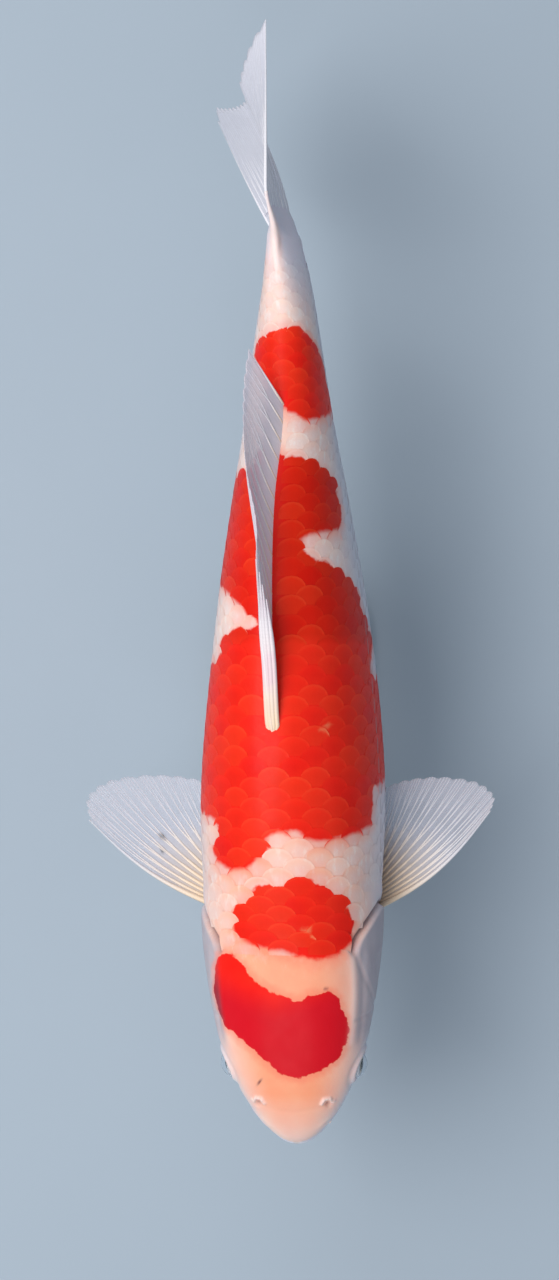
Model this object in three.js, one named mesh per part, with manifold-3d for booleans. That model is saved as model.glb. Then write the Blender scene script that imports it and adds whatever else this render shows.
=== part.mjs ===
// A koi carp at life size, swimming level with its fins spread, held by a plain display stand.
// Millimetres, +Z up. The fish looks along -Y and its left side is +X. The origin is the middle
// of the stand's underside.
//
// The fish is first shaped straight and level: x across, y the distance behind the snout (called
// s below) and z the height over a straight axis from mouth to tail. Cuts and joins are made
// there. Then pose() rolls each section about the axis, bends the tail and lifts the fish.

import * as THREE from 'three';
import { mergeVertices } from 'three/addons/utils/BufferGeometryUtils.js';
import Module from 'manifold-3d';

// ---- driving dimensions ----------------------------------------------------------------------

const BODY_LENGTH = 480;        // snout to the end of the scaled tail stalk
const HEAD_LENGTH = 122;        // snout to nape, on the midline
const STALK_START = 398;        // where the trunk ends, behind the dorsal and anal fins

const AXIS_HEIGHT = 150;        // body axis over the ground
const SNOUT_AHEAD = 215;        // snout in front of the stand's middle

const GAP = 0.3;                // clearance between neighbouring pieces
const COVER_GAP = 0.6;          // groove round each gill cover
const COVER_THICKNESS = 4;
const COVER_FLARE = 0.9;        // how far a cover's rear edge stands off the body
const COVER_INNER = 12;         // half the width of the throat between the covers

const EYE_RADIUS = 8.3;
const EYE_PLACE = { side: 30.9, s: 44, z: 7 };

const BODY_SIDES = 28;          // facets round the body
const RING_STEP = 0.7;          // rings are even in the root of s, so they crowd at the snout

// Body sections: distance behind the snout, half width, back and belly over the axis, and the
// level of the greatest width. Read against the root of s, which rounds the snout off.
const SECTIONS = [
  { s: 0, half: 0, back: -4, belly: -4, wide: -4 },
  { s: 7, half: 14, back: 9, belly: -13, wide: -3 },
  { s: 18, half: 22.6, back: 18, belly: -21, wide: 0 },
  { s: 44, half: 35.6, back: 33, belly: -33, wide: 5 },
  { s: 75, half: 43.3, back: 45.5, belly: -44, wide: 5 },
  { s: 105, half: 46.8, back: 53.5, belly: -53, wide: 4 },
  { s: 140, half: 47.7, back: 60, belly: -61, wide: 4 },
  { s: 180, half: 49, back: 64.5, belly: -65.5, wide: 4 },
  { s: 225, half: 46.4, back: 65.5, belly: -65, wide: 4 },
  { s: 285, half: 39.5, back: 60, belly: -57.5, wide: 3 },
  { s: 340, half: 31.3, back: 50, belly: -46, wide: 2 },
  { s: 390, half: 23.5, back: 39.5, belly: -34.5, wide: 1 },
  { s: 435, half: 17.2, back: 31, belly: -27.5, wide: 0 },
  { s: 465, half: 12.4, back: 28.5, belly: -27, wide: 0 },
  { s: BODY_LENGTH, half: 9.3, back: 29, belly: -28.5, wide: 0 },
];

// Roll of the body about its axis, the back leaning to the fish's right, in degrees.
const ROLL = [
  { s: 0, deg: 5 },
  { s: 90, deg: 5.5 },
  { s: 150, deg: 8 },
  { s: 225, deg: 10.5 },
  { s: 300, deg: 11.3 },
  { s: 345, deg: 10 },
  { s: 385, deg: 4.5 },
  { s: 430, deg: 4.2 },
  { s: BODY_LENGTH, deg: 1 },
  { s: 510, deg: 0 },
  { s: 700, deg: 0 },
];

// How far the axis lies to the left: a slight S, the snout to the left and the tail to the right.
const SWAY = [
  { s: 0, by: 2 },
  { s: 30, by: 1.7 },
  { s: 60, by: 1 },
  { s: 130, by: 0.6 },
  { s: 235, by: 1.1 },
  { s: 280, by: 0.7 },
  { s: 310, by: 0 },
  { s: 350, by: -0.8 },
  { s: 385, by: -1.7 },
  { s: 425, by: -2.5 },
  { s: 456, by: -2.8 },
  { s: BODY_LENGTH, by: -3.6 },
  { s: 520, by: -3.6 },
  { s: 700, by: -3.6 },
];

// The stalk's top edge turns to the right towards the tail.
const RIDGE_LEAN = { by: -5.2, from: 425, to: 486, low: 6, high: 29 };

const FLESH = { red: 0xd8361f, white: 0xece4e2, fin: 0xe6dccf, head: 0xe0a07f };

// ---- small helpers ---------------------------------------------------------------------------

const wasm = await Module();
wasm.setup();

const radians = THREE.MathUtils.degToRad;
const lerp = THREE.MathUtils.lerp;
const smooth = THREE.MathUtils.smoothstep;

// Smooth value of one column of a table, read over a chosen measure of s (its root, or s itself).
function read(table, key, s, measure = (v) => v) {
  const last = table.length - 1;
  let i = table.findIndex((row, k) => k < last && s < table[k + 1].s);
  if (i < 0) i = last - 1;
  const at = (k) => {
    const row = table[THREE.MathUtils.clamp(k, 0, last)];
    return [measure(row.s), row[key]];
  };
  const [x0, y0] = at(i - 1);
  const [x1, y1] = at(i);
  const [x2, y2] = at(i + 1);
  const [x3, y3] = at(i + 2);
  const u = THREE.MathUtils.clamp((measure(s) - x1) / (x2 - x1), 0, 1);
  const step = x2 - x1;
  const m1 = i === 0 ? (y2 - y1) / step : (y2 - y0) / (x2 - x0);
  const m2 = i + 1 === last ? (y2 - y1) / step : (y3 - y1) / (x3 - x1);
  const u2 = u * u;
  const u3 = u2 * u;
  return (2 * u3 - 3 * u2 + 1) * y1 + (u3 - 2 * u2 + u) * step * m1
    + (3 * u2 - 2 * u3) * y2 + (u3 - u2) * step * m2;
}

// Boxiness of the section, above and below its widest level: the head is broad and flat on top.
function squareness(s, up) {
  const head = 1 - smooth(s, 70, 170);
  return up ? 2.05 + 0.3 * head : 2.2 + 0.15 * head;
}

// A point of the body surface, moved out by `out`; the angle runs from the back over the left side.
function bodyPoint(s, angle, out = 0) {
  const half = read(SECTIONS, 'half', s, Math.sqrt) + out;
  const wide = read(SECTIONS, 'wide', s, Math.sqrt);
  const up = Math.cos(angle) > 0;
  const edge = read(SECTIONS, up ? 'back' : 'belly', s, Math.sqrt) - wide;
  const power = 2 / squareness(s, up);
  const x = Math.sign(Math.sin(angle)) * Math.abs(Math.sin(angle)) ** power * Math.max(half, 0);
  const z = wide + Math.abs(Math.cos(angle)) ** power * (edge + Math.sign(edge) * out);
  return new THREE.Vector3(x, s, z);
}

function geometryFrom(points, triangles) {
  const geometry = new THREE.BufferGeometry();
  const numbers = points.flatMap((p) => [p.x, p.y, p.z]);
  geometry.setAttribute('position', new THREE.Float32BufferAttribute(numbers, 3));
  geometry.setIndex(triangles);
  return geometry;
}

// Rings of equal count joined into one closed body; each end closes on a middle point.
function closeRings(rings, startPoint, endPoint) {
  const sides = rings[0].length;
  const points = [...rings.flat(), startPoint, endPoint];
  const start = points.length - 2;
  const end = points.length - 1;
  const triangles = [];
  for (let j = 0; j < sides; j += 1) {
    const next = (j + 1) % sides;
    triangles.push(start, next, j);
    for (let i = 0; i < rings.length - 1; i += 1) {
      const here = i * sides;
      const there = here + sides;
      triangles.push(here + j, here + next, there + next, here + j, there + next, there + j);
    }
    const tail = (rings.length - 1) * sides;
    triangles.push(end, tail + j, tail + next);
  }
  return geometryFrom(points, triangles);
}

// The body between two distances, moved out by a number or by a function of s.
function bodyLoft(from, to, out = 0, ringStep = RING_STEP) {
  const outAt = typeof out === 'function' ? out : () => out;
  const distances = [];
  for (let root = ringStep; root * root < BODY_LENGTH; root += ringStep) {
    const s = root * root;
    if (s > from + 1 && s < to - 1) distances.push(s);
  }
  if (from > 0) distances.unshift(from);
  distances.push(to);
  const rings = distances.map((s) => {
    const ring = [];
    for (let j = 0; j < BODY_SIDES; j += 1) ring.push(bodyPoint(s, (j / BODY_SIDES) * 2 * Math.PI, outAt(s)));
    return ring;
  });
  const middle = (s) => new THREE.Vector3(0, s, read(SECTIONS, 'wide', s, Math.sqrt));
  const front = middle(from);
  if (from === 0) front.y -= outAt(0);
  return closeRings(rings, front, middle(to));
}

// ---- solids for cutting and joining ----------------------------------------------------------

function solid(geometry) {
  const bare = geometry.clone();
  bare.deleteAttribute('normal');
  bare.deleteAttribute('uv');
  const merged = mergeVertices(bare, 1e-4);
  return new wasm.Manifold(new wasm.Mesh({
    numProp: 3,
    vertProperties: new Float32Array(merged.attributes.position.array),
    triVerts: new Uint32Array(merged.index.array),
  }));
}

function geometryOf(manifold) {
  const mesh = manifold.getMesh();
  const geometry = new THREE.BufferGeometry();
  geometry.setAttribute('position', new THREE.BufferAttribute(new Float32Array(mesh.vertProperties), 3));
  geometry.setIndex(new THREE.BufferAttribute(new Uint32Array(mesh.triVerts), 1));
  return geometry;
}

// A closed side-view outline through a few points, named clockwise as seen from the left with the
// snout at the left hand, grown by `extra` and run across the fish.
function sideCutter(corners, extra, fromX, toX, steps = 30) {
  const curve = new THREE.CatmullRomCurve3(corners.map(([s, z]) => new THREE.Vector3(s, z, 0)), true);
  const shape = new THREE.Shape();
  for (let i = 0; i < steps; i += 1) {
    const point = curve.getPoint(i / steps);
    const along = curve.getTangent(i / steps);
    const x = point.x - along.y * extra;
    const y = point.y + along.x * extra;
    if (i === 0) shape.moveTo(x, y);
    else shape.lineTo(x, y);
  }
  return acrossFish(shape, fromX, toX);
}

function polygonCutter(corners, fromX, toX) {
  return acrossFish(new THREE.Shape(corners.map(([s, z]) => new THREE.Vector2(s, z))), fromX, toX);
}

function acrossFish(shape, fromX, toX) {
  const geometry = new THREE.ExtrudeGeometry(shape, { depth: toX - fromX, bevelEnabled: false });
  geometry.translate(0, 0, fromX);
  const axes = [new THREE.Vector3(0, 1, 0), new THREE.Vector3(0, 0, 1), new THREE.Vector3(1, 0, 0)];
  geometry.applyMatrix4(new THREE.Matrix4().makeBasis(...axes));
  return solid(geometry);
}

// ---- pose ------------------------------------------------------------------------------------

function ridgeLean(s, z) {
  const { by, from, to, low, high } = RIDGE_LEAN;
  return by * smooth(s, from, to) * smooth(z, low, high);
}

function pose(geometry) {
  const position = geometry.attributes.position;
  for (let i = 0; i < position.count; i += 1) {
    const x = position.getX(i);
    const s = position.getY(i);
    const z = position.getZ(i);
    const roll = radians(read(ROLL, 'deg', s));
    position.setXYZ(
      i,
      x * Math.cos(roll) - z * Math.sin(roll) + read(SWAY, 'by', s) + ridgeLean(s, z),
      s - SNOUT_AHEAD,
      x * Math.sin(roll) + z * Math.cos(roll) + AXIS_HEIGHT,
    );
  }
  return geometry;
}

// ---- head, gill covers and lower jaw ---------------------------------------------------------

const SIDES = [['left', 1], ['right', -1]];

// Side views, as distance behind the snout and height: the plate of the gill cover, the head's
// rear edge (which runs on under the covers), and the mouth line with the lower jaw below it.
const COVER_OUTLINE = [[106, 38], [121, 27], [128, 4], [121, -28], [99, -50], [82, -45], [74, -14], [82, 18]];
const HEAD_EDGE = [
  [88, -90], [90, -58], [104, -30], [110, 0], [106, 34], [HEAD_LENGTH, 54], [HEAD_LENGTH, 90],
];
const MOUTH = { lip: [-10, -4.5], corner: [19, -13.5], joint: [31, -20], throat: [36, -70] };
const MOUTH_GAP = 0.8;

function makeHeadRegion(margin) {
  const edge = HEAD_EDGE.map(([s, z]) => [s + margin, z]);
  return polygonCutter([[-20, -90], ...edge, [-20, 90]], -90, 90);
}

function makeJawRegion(margin) {
  const { lip, corner, joint, throat } = MOUTH;
  return polygonCutter([
    [lip[0], lip[1] + margin],
    [corner[0], corner[1] + margin],
    [joint[0] + margin, joint[1] + margin],
    [throat[0] + margin, throat[1]],
    [lip[0], throat[1]],
  ], -90, 90);
}

// The gill covers' outlines, run out from near the middle of the throat on one side of the fish.
function coverRegion(side, extra) {
  const inner = COVER_INNER - extra;
  const [fromX, toX] = side > 0 ? [inner, 90] : [-90, -inner];
  return sideCutter(COVER_OUTLINE, extra, fromX, toX);
}

// The flesh that a cover lies on; it is hidden, so its rings are further apart.
const underCover = (depth) => solid(bodyLoft(0, BODY_LENGTH, -depth, 3 * RING_STEP));

function makeCover(side) {
  const flared = (s) => COVER_FLARE * smooth(s, 84, 122);
  return solid(bodyLoft(0, BODY_LENGTH, flared)).intersect(coverRegion(side, 0))
    .subtract(underCover(COVER_THICKNESS));
}

// Room for the covers, in the head and in the front of the trunk.
const coverPocket = coverRegion(1, COVER_GAP).add(coverRegion(-1, COVER_GAP))
  .subtract(underCover(COVER_THICKNESS + GAP));

function eyeBall(side, radius) {
  const ball = new THREE.SphereGeometry(radius, 12, 8);
  ball.rotateZ(Math.PI / 2);
  return ball.translate(side * EYE_PLACE.side, EYE_PLACE.s, EYE_PLACE.z);
}

// A nostril: a small pit with a raised flap behind it.
const NOSTRIL = { side: 18.8, s: 23, pit: 2.4, flap: 2.2 };

function nostrilPart(side, radius, backward) {
  const s = NOSTRIL.s + backward;
  const surface = bodyPoint(s, side * 0.72);
  const bead = new THREE.SphereGeometry(radius, 8, 5);
  return solid(bead.translate(side * NOSTRIL.side, s, surface.z - radius * 0.35));
}

function makeHead() {
  let head = solid(bodyLoft(0, HEAD_LENGTH + 40)).intersect(makeHeadRegion(0))
    .subtract(makeJawRegion(MOUTH_GAP)).subtract(coverPocket);
  for (const [, side] of SIDES) {
    head = head.add(nostrilPart(side, NOSTRIL.flap, 3)).subtract(nostrilPart(side, NOSTRIL.pit, 0))
      .subtract(solid(eyeBall(side, EYE_RADIUS + GAP)));
  }
  return head;
}

function makeJaw() {
  return solid(bodyLoft(0, HEAD_LENGTH, -0.4)).intersect(makeJawRegion(0));
}

// ---- barbels ---------------------------------------------------------------------------------

// A tapering feeler along a smooth curve.
function feeler(points, rootRadius, tipRadius, rings = 6, sides = 7) {
  const curve = new THREE.CatmullRomCurve3(points);
  const frames = curve.computeFrenetFrames(rings - 1, false);
  const loops = [];
  for (let i = 0; i < rings; i += 1) {
    const centre = curve.getPointAt(i / (rings - 1));
    const radius = lerp(rootRadius, tipRadius, i / (rings - 1));
    const loop = [];
    for (let j = 0; j < sides; j += 1) {
      const angle = (j / sides) * 2 * Math.PI;
      loop.push(centre.clone()
        .addScaledVector(frames.normals[i], Math.cos(angle) * radius)
        .addScaledVector(frames.binormals[i], Math.sin(angle) * radius));
    }
    loops.push(loop);
  }
  const end = points[points.length - 1].clone().addScaledVector(frames.tangents[rings - 1], tipRadius);
  return outward(closeRings(loops, points[0].clone(), end));
}

function outward(geometry) {
  const p = geometry.attributes.position;
  const index = geometry.index.array;
  const corner = (k) => new THREE.Vector3().fromBufferAttribute(p, index[k]);
  let volume = 0;
  for (let k = 0; k < index.length; k += 3) volume += corner(k).dot(corner(k + 1).cross(corner(k + 2)));
  if (volume < 0) {
    for (let k = 0; k < index.length; k += 3) [index[k + 1], index[k + 2]] = [index[k + 2], index[k + 1]];
  }
  return geometry;
}

// Two pairs hang from the upper lip and from the corners of the mouth, close under the snout.
const BARBELS = {
  upper: { s: 11, angle: 104, length: 13, radius: 1.3, splay: 0.12, drop: 0.8 },
  corner: { s: 21, angle: 109, length: 22, radius: 1.5, splay: 0.08, drop: 0.75 },
};

function makeBarbel({ s, angle, length, radius, splay, drop }, side) {
  const start = bodyPoint(s, side * radians(angle), -radius);
  const reach = (part, sag) => start.clone().add(new THREE.Vector3(
    side * (radius + splay * length * part),
    length * part * (0.25 + 0.45 * part),
    -drop * length * part - sag,
  ));
  return feeler([start, reach(0.5, 0.8), reach(1, 0)], radius, 0.5);
}

// ---- fins ------------------------------------------------------------------------------------

// A closed thin sheet: middle surface point(u, v), u across the rays and v from root to edge,
// with half thickness half(u, v) either side. Columns fall on rays and between them in turn.
function finSheet(point, half, columns, rows) {
  const step = 1e-3;
  const faces = [[], []];
  for (let i = 0; i <= columns; i += 1) {
    for (let j = 0; j <= rows; j += 1) {
      const u = i / columns;
      const v = j / rows;
      const across = point(Math.min(u + step, 1), v).sub(point(Math.max(u - step, 0), v));
      const along = point(u, Math.min(v + step, 1)).sub(point(u, Math.max(v - step, 0)));
      const normal = across.cross(along).normalize();
      const thick = half(u, v);
      faces[0].push(point(u, v).addScaledVector(normal, thick));
      faces[1].push(point(u, v).addScaledVector(normal, -thick));
    }
  }
  const count = faces[0].length;
  const at = (face, i, j) => face * count + i * (rows + 1) + j;
  const triangles = [];
  const quad = (a, b, c, d) => triangles.push(a, b, c, a, c, d);
  for (let i = 0; i < columns; i += 1) {
    for (let j = 0; j < rows; j += 1) {
      quad(at(0, i, j), at(0, i + 1, j), at(0, i + 1, j + 1), at(0, i, j + 1));
      quad(at(1, i, j), at(1, i, j + 1), at(1, i + 1, j + 1), at(1, i + 1, j));
    }
    quad(at(0, i + 1, 0), at(0, i, 0), at(1, i, 0), at(1, i + 1, 0));
    quad(at(0, i, rows), at(0, i + 1, rows), at(1, i + 1, rows), at(1, i, rows));
  }
  for (let j = 0; j < rows; j += 1) {
    quad(at(0, 0, j), at(0, 0, j + 1), at(1, 0, j + 1), at(1, 0, j));
    quad(at(0, columns, j + 1), at(0, columns, j), at(1, columns, j), at(1, columns, j + 1));
  }
  return outward(geometryFrom([...faces[0], ...faces[1]], triangles));
}

// Half thickness of a fin: thick at the root and on the rays, thin at the edge and between rays.
function finThickness(rays, root, edge, leading = 1) {
  return (u, v) => {
    const onRay = Math.round(u * rays * 2) % 2 === 0 ? 1 : 0.65;
    const front = 1 + (leading - 1) * (1 - smooth(u, 0, 1.5 / rays));
    return lerp(root, edge, Math.min(1, v * 1.4)) * onRay * (v < 0.2 ? 1 : front);
  };
}

// How far the edge draws in between rays.
const scallop = (u, rays, depth) => 1 - depth * (1 - Math.abs(Math.cos(Math.PI * u * rays)));

const fullBody = solid(bodyLoft(0, BODY_LENGTH, GAP));
const offBody = (geometry) => solid(geometry).subtract(fullBody);

// Dorsal fin, half folded: the rays lie back low over the body and lean to the right. The first
// rays lie folded against each other in a thick bundle.
const DORSAL = {
  from: 220, to: 391, rays: 17,
  first: { length: 92, lift: 20, lean: 2 },
  last: { length: 37, lift: 35, lean: 30 },
  bundle: { half: 2.7, until: 0.12 },
};

function dorsalPoint(u, v) {
  const { from, to, rays, first, last } = DORSAL;
  const s = lerp(from, to, u);
  const ease = u ** 0.8;
  const length = lerp(first.length, last.length, ease) * scallop(u, rays, 0.03) * v;
  const lift = radians(lerp(first.lift, last.lift, ease) - 9 * v);
  const lean = radians(lerp(first.lean, last.lean, smooth(u, 0.15, 0.95)));
  const base = read(SECTIONS, 'back', s, Math.sqrt) - 2;
  return new THREE.Vector3(
    -Math.cos(lift) * Math.sin(lean) * length,
    s + Math.cos(lift) * Math.cos(lean) * length,
    base + Math.sin(lift) * length,
  );
}

function dorsalThickness(u, v) {
  const { half, until } = DORSAL.bundle;
  const folded = half * (1 - smooth(u, 0, until)) * (1 - smooth(v, 0.7, 1));
  return finThickness(DORSAL.rays, 1.1, 0.5, 1.5)(u, v) + folded;
}

// Anal fin: short, straight down under the tail, swept back.
const ANAL = { from: 360, to: 397, rays: 7, first: 62, last: 27, sweep: [46, 62] };

function analPoint(u, v) {
  const { from, to, rays, first, last, sweep } = ANAL;
  const s = lerp(from, to, u);
  const length = lerp(first, last, u ** 0.75) * scallop(u, rays, 0.04) * v;
  const angle = radians(lerp(sweep[0], sweep[1], u));
  const base = read(SECTIONS, 'belly', s, Math.sqrt) + 2;
  return new THREE.Vector3(0, s + Math.sin(angle) * length, base - Math.cos(angle) * length);
}

// Pelvic fins: a pair low on the belly, swept back. The outer ray stands off to the side and the
// inner ones hang lower, so the fin is turned half towards the flank.
const PELVIC = {
  rays: 9, root: { outer: [17, 232], inner: [12, 247] },
  outer: { length: 62, splay: 13, drop: 26 },
  inner: { length: 38, splay: -3, drop: 50 },
};

function pelvicPoint(side, u, v) {
  const { rays, root, outer, inner } = PELVIC;
  const x = lerp(root.outer[0], root.inner[0], u);
  const s = lerp(root.outer[1], root.inner[1], u);
  const base = read(SECTIONS, 'belly', s, Math.sqrt) + 2 + 6 * (x / 20) ** 2;
  const length = lerp(outer.length, inner.length, u ** 1.3) * scallop(u, rays, 0.04) * v;
  const splay = radians(lerp(outer.splay, inner.splay, u));
  const drop = radians(lerp(outer.drop, inner.drop, u) - 6 * v);
  return new THREE.Vector3(
    side * (x + Math.cos(drop) * Math.sin(splay) * length),
    s + Math.cos(drop) * Math.cos(splay) * length,
    base - Math.sin(drop) * length,
  );
}

// Pectoral fins: broad fans spread to both sides. The edge runs from the tip, round behind, to
// the body; reach and lift differ a little from side to side, as the fish is turning.
const PECTORAL = {
  rays: 15,
  root: { front: [37, 124, -22], rear: [37, 147, -38] },
  edge: [[110, 179], [112, 187], [101, 194], [79, 196], [58, 193.5], [44, 188], [36, 182]],
  bow: 6,
  left: { reach: 0.94, rise: 30, rootAhead: 2, tipAhead: 0 },
  right: { reach: 1.06, rise: 10, rootAhead: 2.6, tipAhead: 8 },
};

function pectoralPoint(side, u, v) {
  const { rays, root, edge, bow } = PECTORAL;
  const { reach, rise, rootAhead, tipAhead } = side > 0 ? PECTORAL.left : PECTORAL.right;
  const base = new THREE.Vector3(...root.front).lerp(new THREE.Vector3(...root.rear), u);
  base.y -= rootAhead * (1 - u);
  const place = u * (edge.length - 1);
  const k = Math.min(Math.floor(place), edge.length - 2);
  const along = place - k;
  const corner = (i) => edge[THREE.MathUtils.clamp(i, 0, edge.length - 1)];
  const spline = (axis) => {
    const [a, b, c, d] = [corner(k - 1)[axis], corner(k)[axis], corner(k + 1)[axis], corner(k + 2)[axis]];
    return b + 0.5 * along * (c - a + along * (2 * a - 5 * b + 4 * c - d + along * (3 * (b - c) + d - a)));
  };
  const full = scallop(u, rays, 0.018) * v;
  const x = lerp(base.x, spline(0), full);
  const s = lerp(base.y, spline(1), full) - tipAhead * (1 - u) ** 4 * v ** 1.5;
  const bowed = bow * Math.sin(Math.PI * v) * (1 - u) ** 2;
  const out = (x - base.x) * reach + bowed * 0.55;
  return new THREE.Vector3(
    side * (base.x + out),
    s - bowed,
    base.z + rise * (out / 75) - 4 * v * v * Math.sin(Math.PI * u) + 14 * u * v,
  );
}

// Tail fin: a cupped, forked sheet. u runs from the upper to the lower leading ray. Seen from
// above its top edge is a nearly straight ridge, its middle swells to the left before it swings
// to the right, and its lower lobe swings out to the right from the start.
const CAUDAL = {
  rays: 17, buried: 3,
  rootHeight: 27.5,
  upper: { reach: 107, spread: 68, rounding: 0 },
  lower: { reach: 87, spread: -66, rounding: 9 },
  fork: 76,
  flesh: { half: 8.6, fade: 11 },
};

function caudalSway(along, u) {
  const behind = Math.max(along, 0);
  const top = -5.4 * smooth(along, 0, 26);
  const middle = 4.2 * smooth(along, -2, 20) - 34.5 * (behind / 87) ** 1.6;
  const bottom = -41 * (behind / 86) ** 0.95;
  return top * (1 - u) * (1 - 2 * u) + middle * 4 * u * (1 - u) + bottom * u * (2 * u - 1);
}

// Distance behind the stalk's end.
function caudalAlong(u, v) {
  const { rays, buried, upper, lower, fork } = CAUDAL;
  const tip = u < 0.5 ? upper : lower;
  const lobe = Math.abs(2 * u - 1);
  const full = lerp(fork, tip.reach, lobe ** 1.8) - tip.rounding * smooth(lobe, 0.8, 1);
  return v * (full * scallop(u, rays, 0.02) + buried) - buried;
}

function caudalPoint(u, v) {
  const { rootHeight, upper, lower } = CAUDAL;
  const lobe = Math.abs(2 * u - 1);
  const tip = u < 0.5 ? upper : lower;
  const along = caudalAlong(u, v);
  const opening = Math.sin((Math.PI / 2) * Math.min(1, v * (1 + 0.12 * lobe))) ** 0.9;
  const z = lerp(rootHeight * (1 - 2 * u), tip.spread * lobe ** 1.1, opening);
  return new THREE.Vector3(caudalSway(along, u), BODY_LENGTH + along, z);
}

// The root of the tail fin fills the end of the stalk and thins out quickly.
function caudalThickness(u, v) {
  const round = Math.sqrt(Math.max(0, 1 - (2 * u - 1) ** 2));
  const { half, fade } = CAUDAL.flesh;
  const fleshy = half * round * Math.exp(-((Math.max(caudalAlong(u, v), 0) / fade) ** 1.3));
  const onRay = Math.round(u * CAUDAL.rays * 2) % 2 === 0 ? 1 : 0.7;
  const edge = Math.max(0, 1 - 12 * Math.min(u, 1 - u));
  return fleshy + (lerp(1, 0.35, v) + edge * (1 - 0.6 * v)) * onRay;
}

function makeCaudal() {
  const behindStalk = [[BODY_LENGTH + GAP, -100], [BODY_LENGTH + GAP, 100], [640, 100], [640, -100]];
  return solid(finSheet(caudalPoint, caudalThickness, CAUDAL.rays * 2, 5))
    .intersect(polygonCutter(behindStalk, -90, 90));
}

function makeFin(point, rays, rows, root, edge, leading) {
  return offBody(finSheet(point, finThickness(rays, root, edge, leading), rays * 2, rows));
}

// ---- stand -----------------------------------------------------------------------------------

const BASE = { length: 190, width: 78, thickness: 14, bevel: 1.5 };
const ROD = { radius: 4, flange: 8, flangeHeight: 3, embed: 9, sides: 16 };
const ROD_AT = { front: 144, rear: 294 };     // distances behind the snout

// A plate with round ends, its underside at z = 0.
function makeBase() {
  const { length, width, thickness, bevel } = BASE;
  const radius = width / 2 - bevel;
  const straight = (length - width) / 2;
  const shape = new THREE.Shape();
  shape.absarc(0, straight, radius, 0, Math.PI, false);
  shape.absarc(0, -straight, radius, Math.PI, 2 * Math.PI, false);
  const geometry = new THREE.ExtrudeGeometry(shape, {
    depth: thickness - 2 * bevel, curveSegments: 10,
    bevelEnabled: true, bevelSize: bevel, bevelThickness: bevel, bevelSegments: 1,
  });
  return geometry.translate(0, 0, bevel);
}

// The lowest point of the posed body at a distance behind the snout.
function keel(s) {
  const roll = radians(read(ROLL, 'deg', s));
  let lowest = { x: 0, z: Infinity };
  for (let degrees = 150; degrees <= 210; degrees += 1) {
    const p = bodyPoint(s, radians(degrees));
    const z = p.x * Math.sin(roll) + p.z * Math.cos(roll);
    if (z < lowest.z) {
      lowest = { x: p.x * Math.cos(roll) - p.z * Math.sin(roll) + read(SWAY, 'by', s), z };
    }
  }
  return { x: lowest.x, y: s - SNOUT_AHEAD, z: lowest.z + AXIS_HEIGHT };
}

// A round rod with a small foot flange, turned about its own axis and stood upright.
function rodGeometry(height, extra) {
  const { radius, flange, flangeHeight, sides } = ROD;
  const profile = [
    [0, 0], [flange + extra, 0], [flange + extra, flangeHeight - 1], [flange - 1 + extra, flangeHeight],
    [radius + extra, flangeHeight], [radius + extra, height + extra], [0, height + extra],
  ];
  const lathe = new THREE.LatheGeometry(profile.map(([r, h]) => new THREE.Vector2(r, h)), sides);
  return lathe.rotateX(Math.PI / 2);
}

function placedRod(s, extra = 0) {
  const foot = keel(s);
  const floor = BASE.thickness + GAP;
  return rodGeometry(foot.z + ROD.embed - floor, extra).translate(foot.x, foot.y, floor);
}

// Flesh that a rod enters, with its socket cut after the pose.
function socketed(manifold) {
  let flesh = solid(pose(geometryOf(manifold)));
  for (const s of Object.values(ROD_AT)) flesh = flesh.subtract(solid(placedRod(s, GAP)));
  return geometryOf(flesh);
}

// ---- assembly --------------------------------------------------------------------------------

const koi = new THREE.Group();

function addNode(name, geometry, colour, roughness, metalness = 0) {
  geometry.computeVertexNormals();
  const material = new THREE.MeshStandardMaterial({ color: colour, roughness, metalness });
  const mesh = new THREE.Mesh(geometry, material);
  mesh.name = name;
  koi.add(mesh);
}

const posed = (manifold) => pose(geometryOf(manifold));
const SKIN = 0.35;
const FIN = 0.4;

addNode('head', posed(makeHead()), FLESH.head, SKIN);
addNode('lower_jaw', posed(makeJaw()), FLESH.head, SKIN);

const wholeTrunk = solid(bodyLoft(0, STALK_START)).subtract(makeHeadRegion(GAP)).subtract(coverPocket);
addNode('trunk', socketed(wholeTrunk), FLESH.red, SKIN);
addNode('tail_stalk', pose(bodyLoft(STALK_START + GAP, BODY_LENGTH)), FLESH.white, SKIN);

const dorsal = offBody(finSheet(dorsalPoint, dorsalThickness, DORSAL.rays * 2, 3));
addNode('fin_dorsal', posed(dorsal), FLESH.fin, FIN);
addNode('fin_anal', posed(makeFin(analPoint, ANAL.rays, 3, 1.1, 0.5, 1.4)), FLESH.fin, FIN);
addNode('fin_caudal', posed(makeCaudal()), FLESH.fin, FIN);

for (const [name, side] of SIDES) {
  addNode(`gill_cover_${name}`, posed(makeCover(side)), FLESH.head, SKIN);
  addNode(`eye_${name}`, pose(eyeBall(side, EYE_RADIUS)), 0x161412, 0.1);
  for (const [place, barbel] of Object.entries(BARBELS)) {
    addNode(`barbel_${place}_${name}`, posed(offBody(makeBarbel(barbel, side))), FLESH.white, SKIN);
  }
  const pectoral = (u, v) => pectoralPoint(side, u, v);
  const pelvic = (u, v) => pelvicPoint(side, u, v);
  addNode(`fin_pectoral_${name}`, posed(makeFin(pectoral, PECTORAL.rays, 4, 1.6, 0.5, 1.5)), FLESH.fin, FIN);
  addNode(`fin_pelvic_${name}`, posed(makeFin(pelvic, PELVIC.rays, 3, 1.2, 0.5, 1.4)), FLESH.fin, FIN);
}

addNode('stand_base', makeBase(), 0x4a3021, 0.45);
for (const [name, s] of Object.entries(ROD_AT)) {
  addNode(`stand_rod_${name}`, placedRod(s), 0xb8bbbf, 0.3, 1);
}

export default koi;
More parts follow.
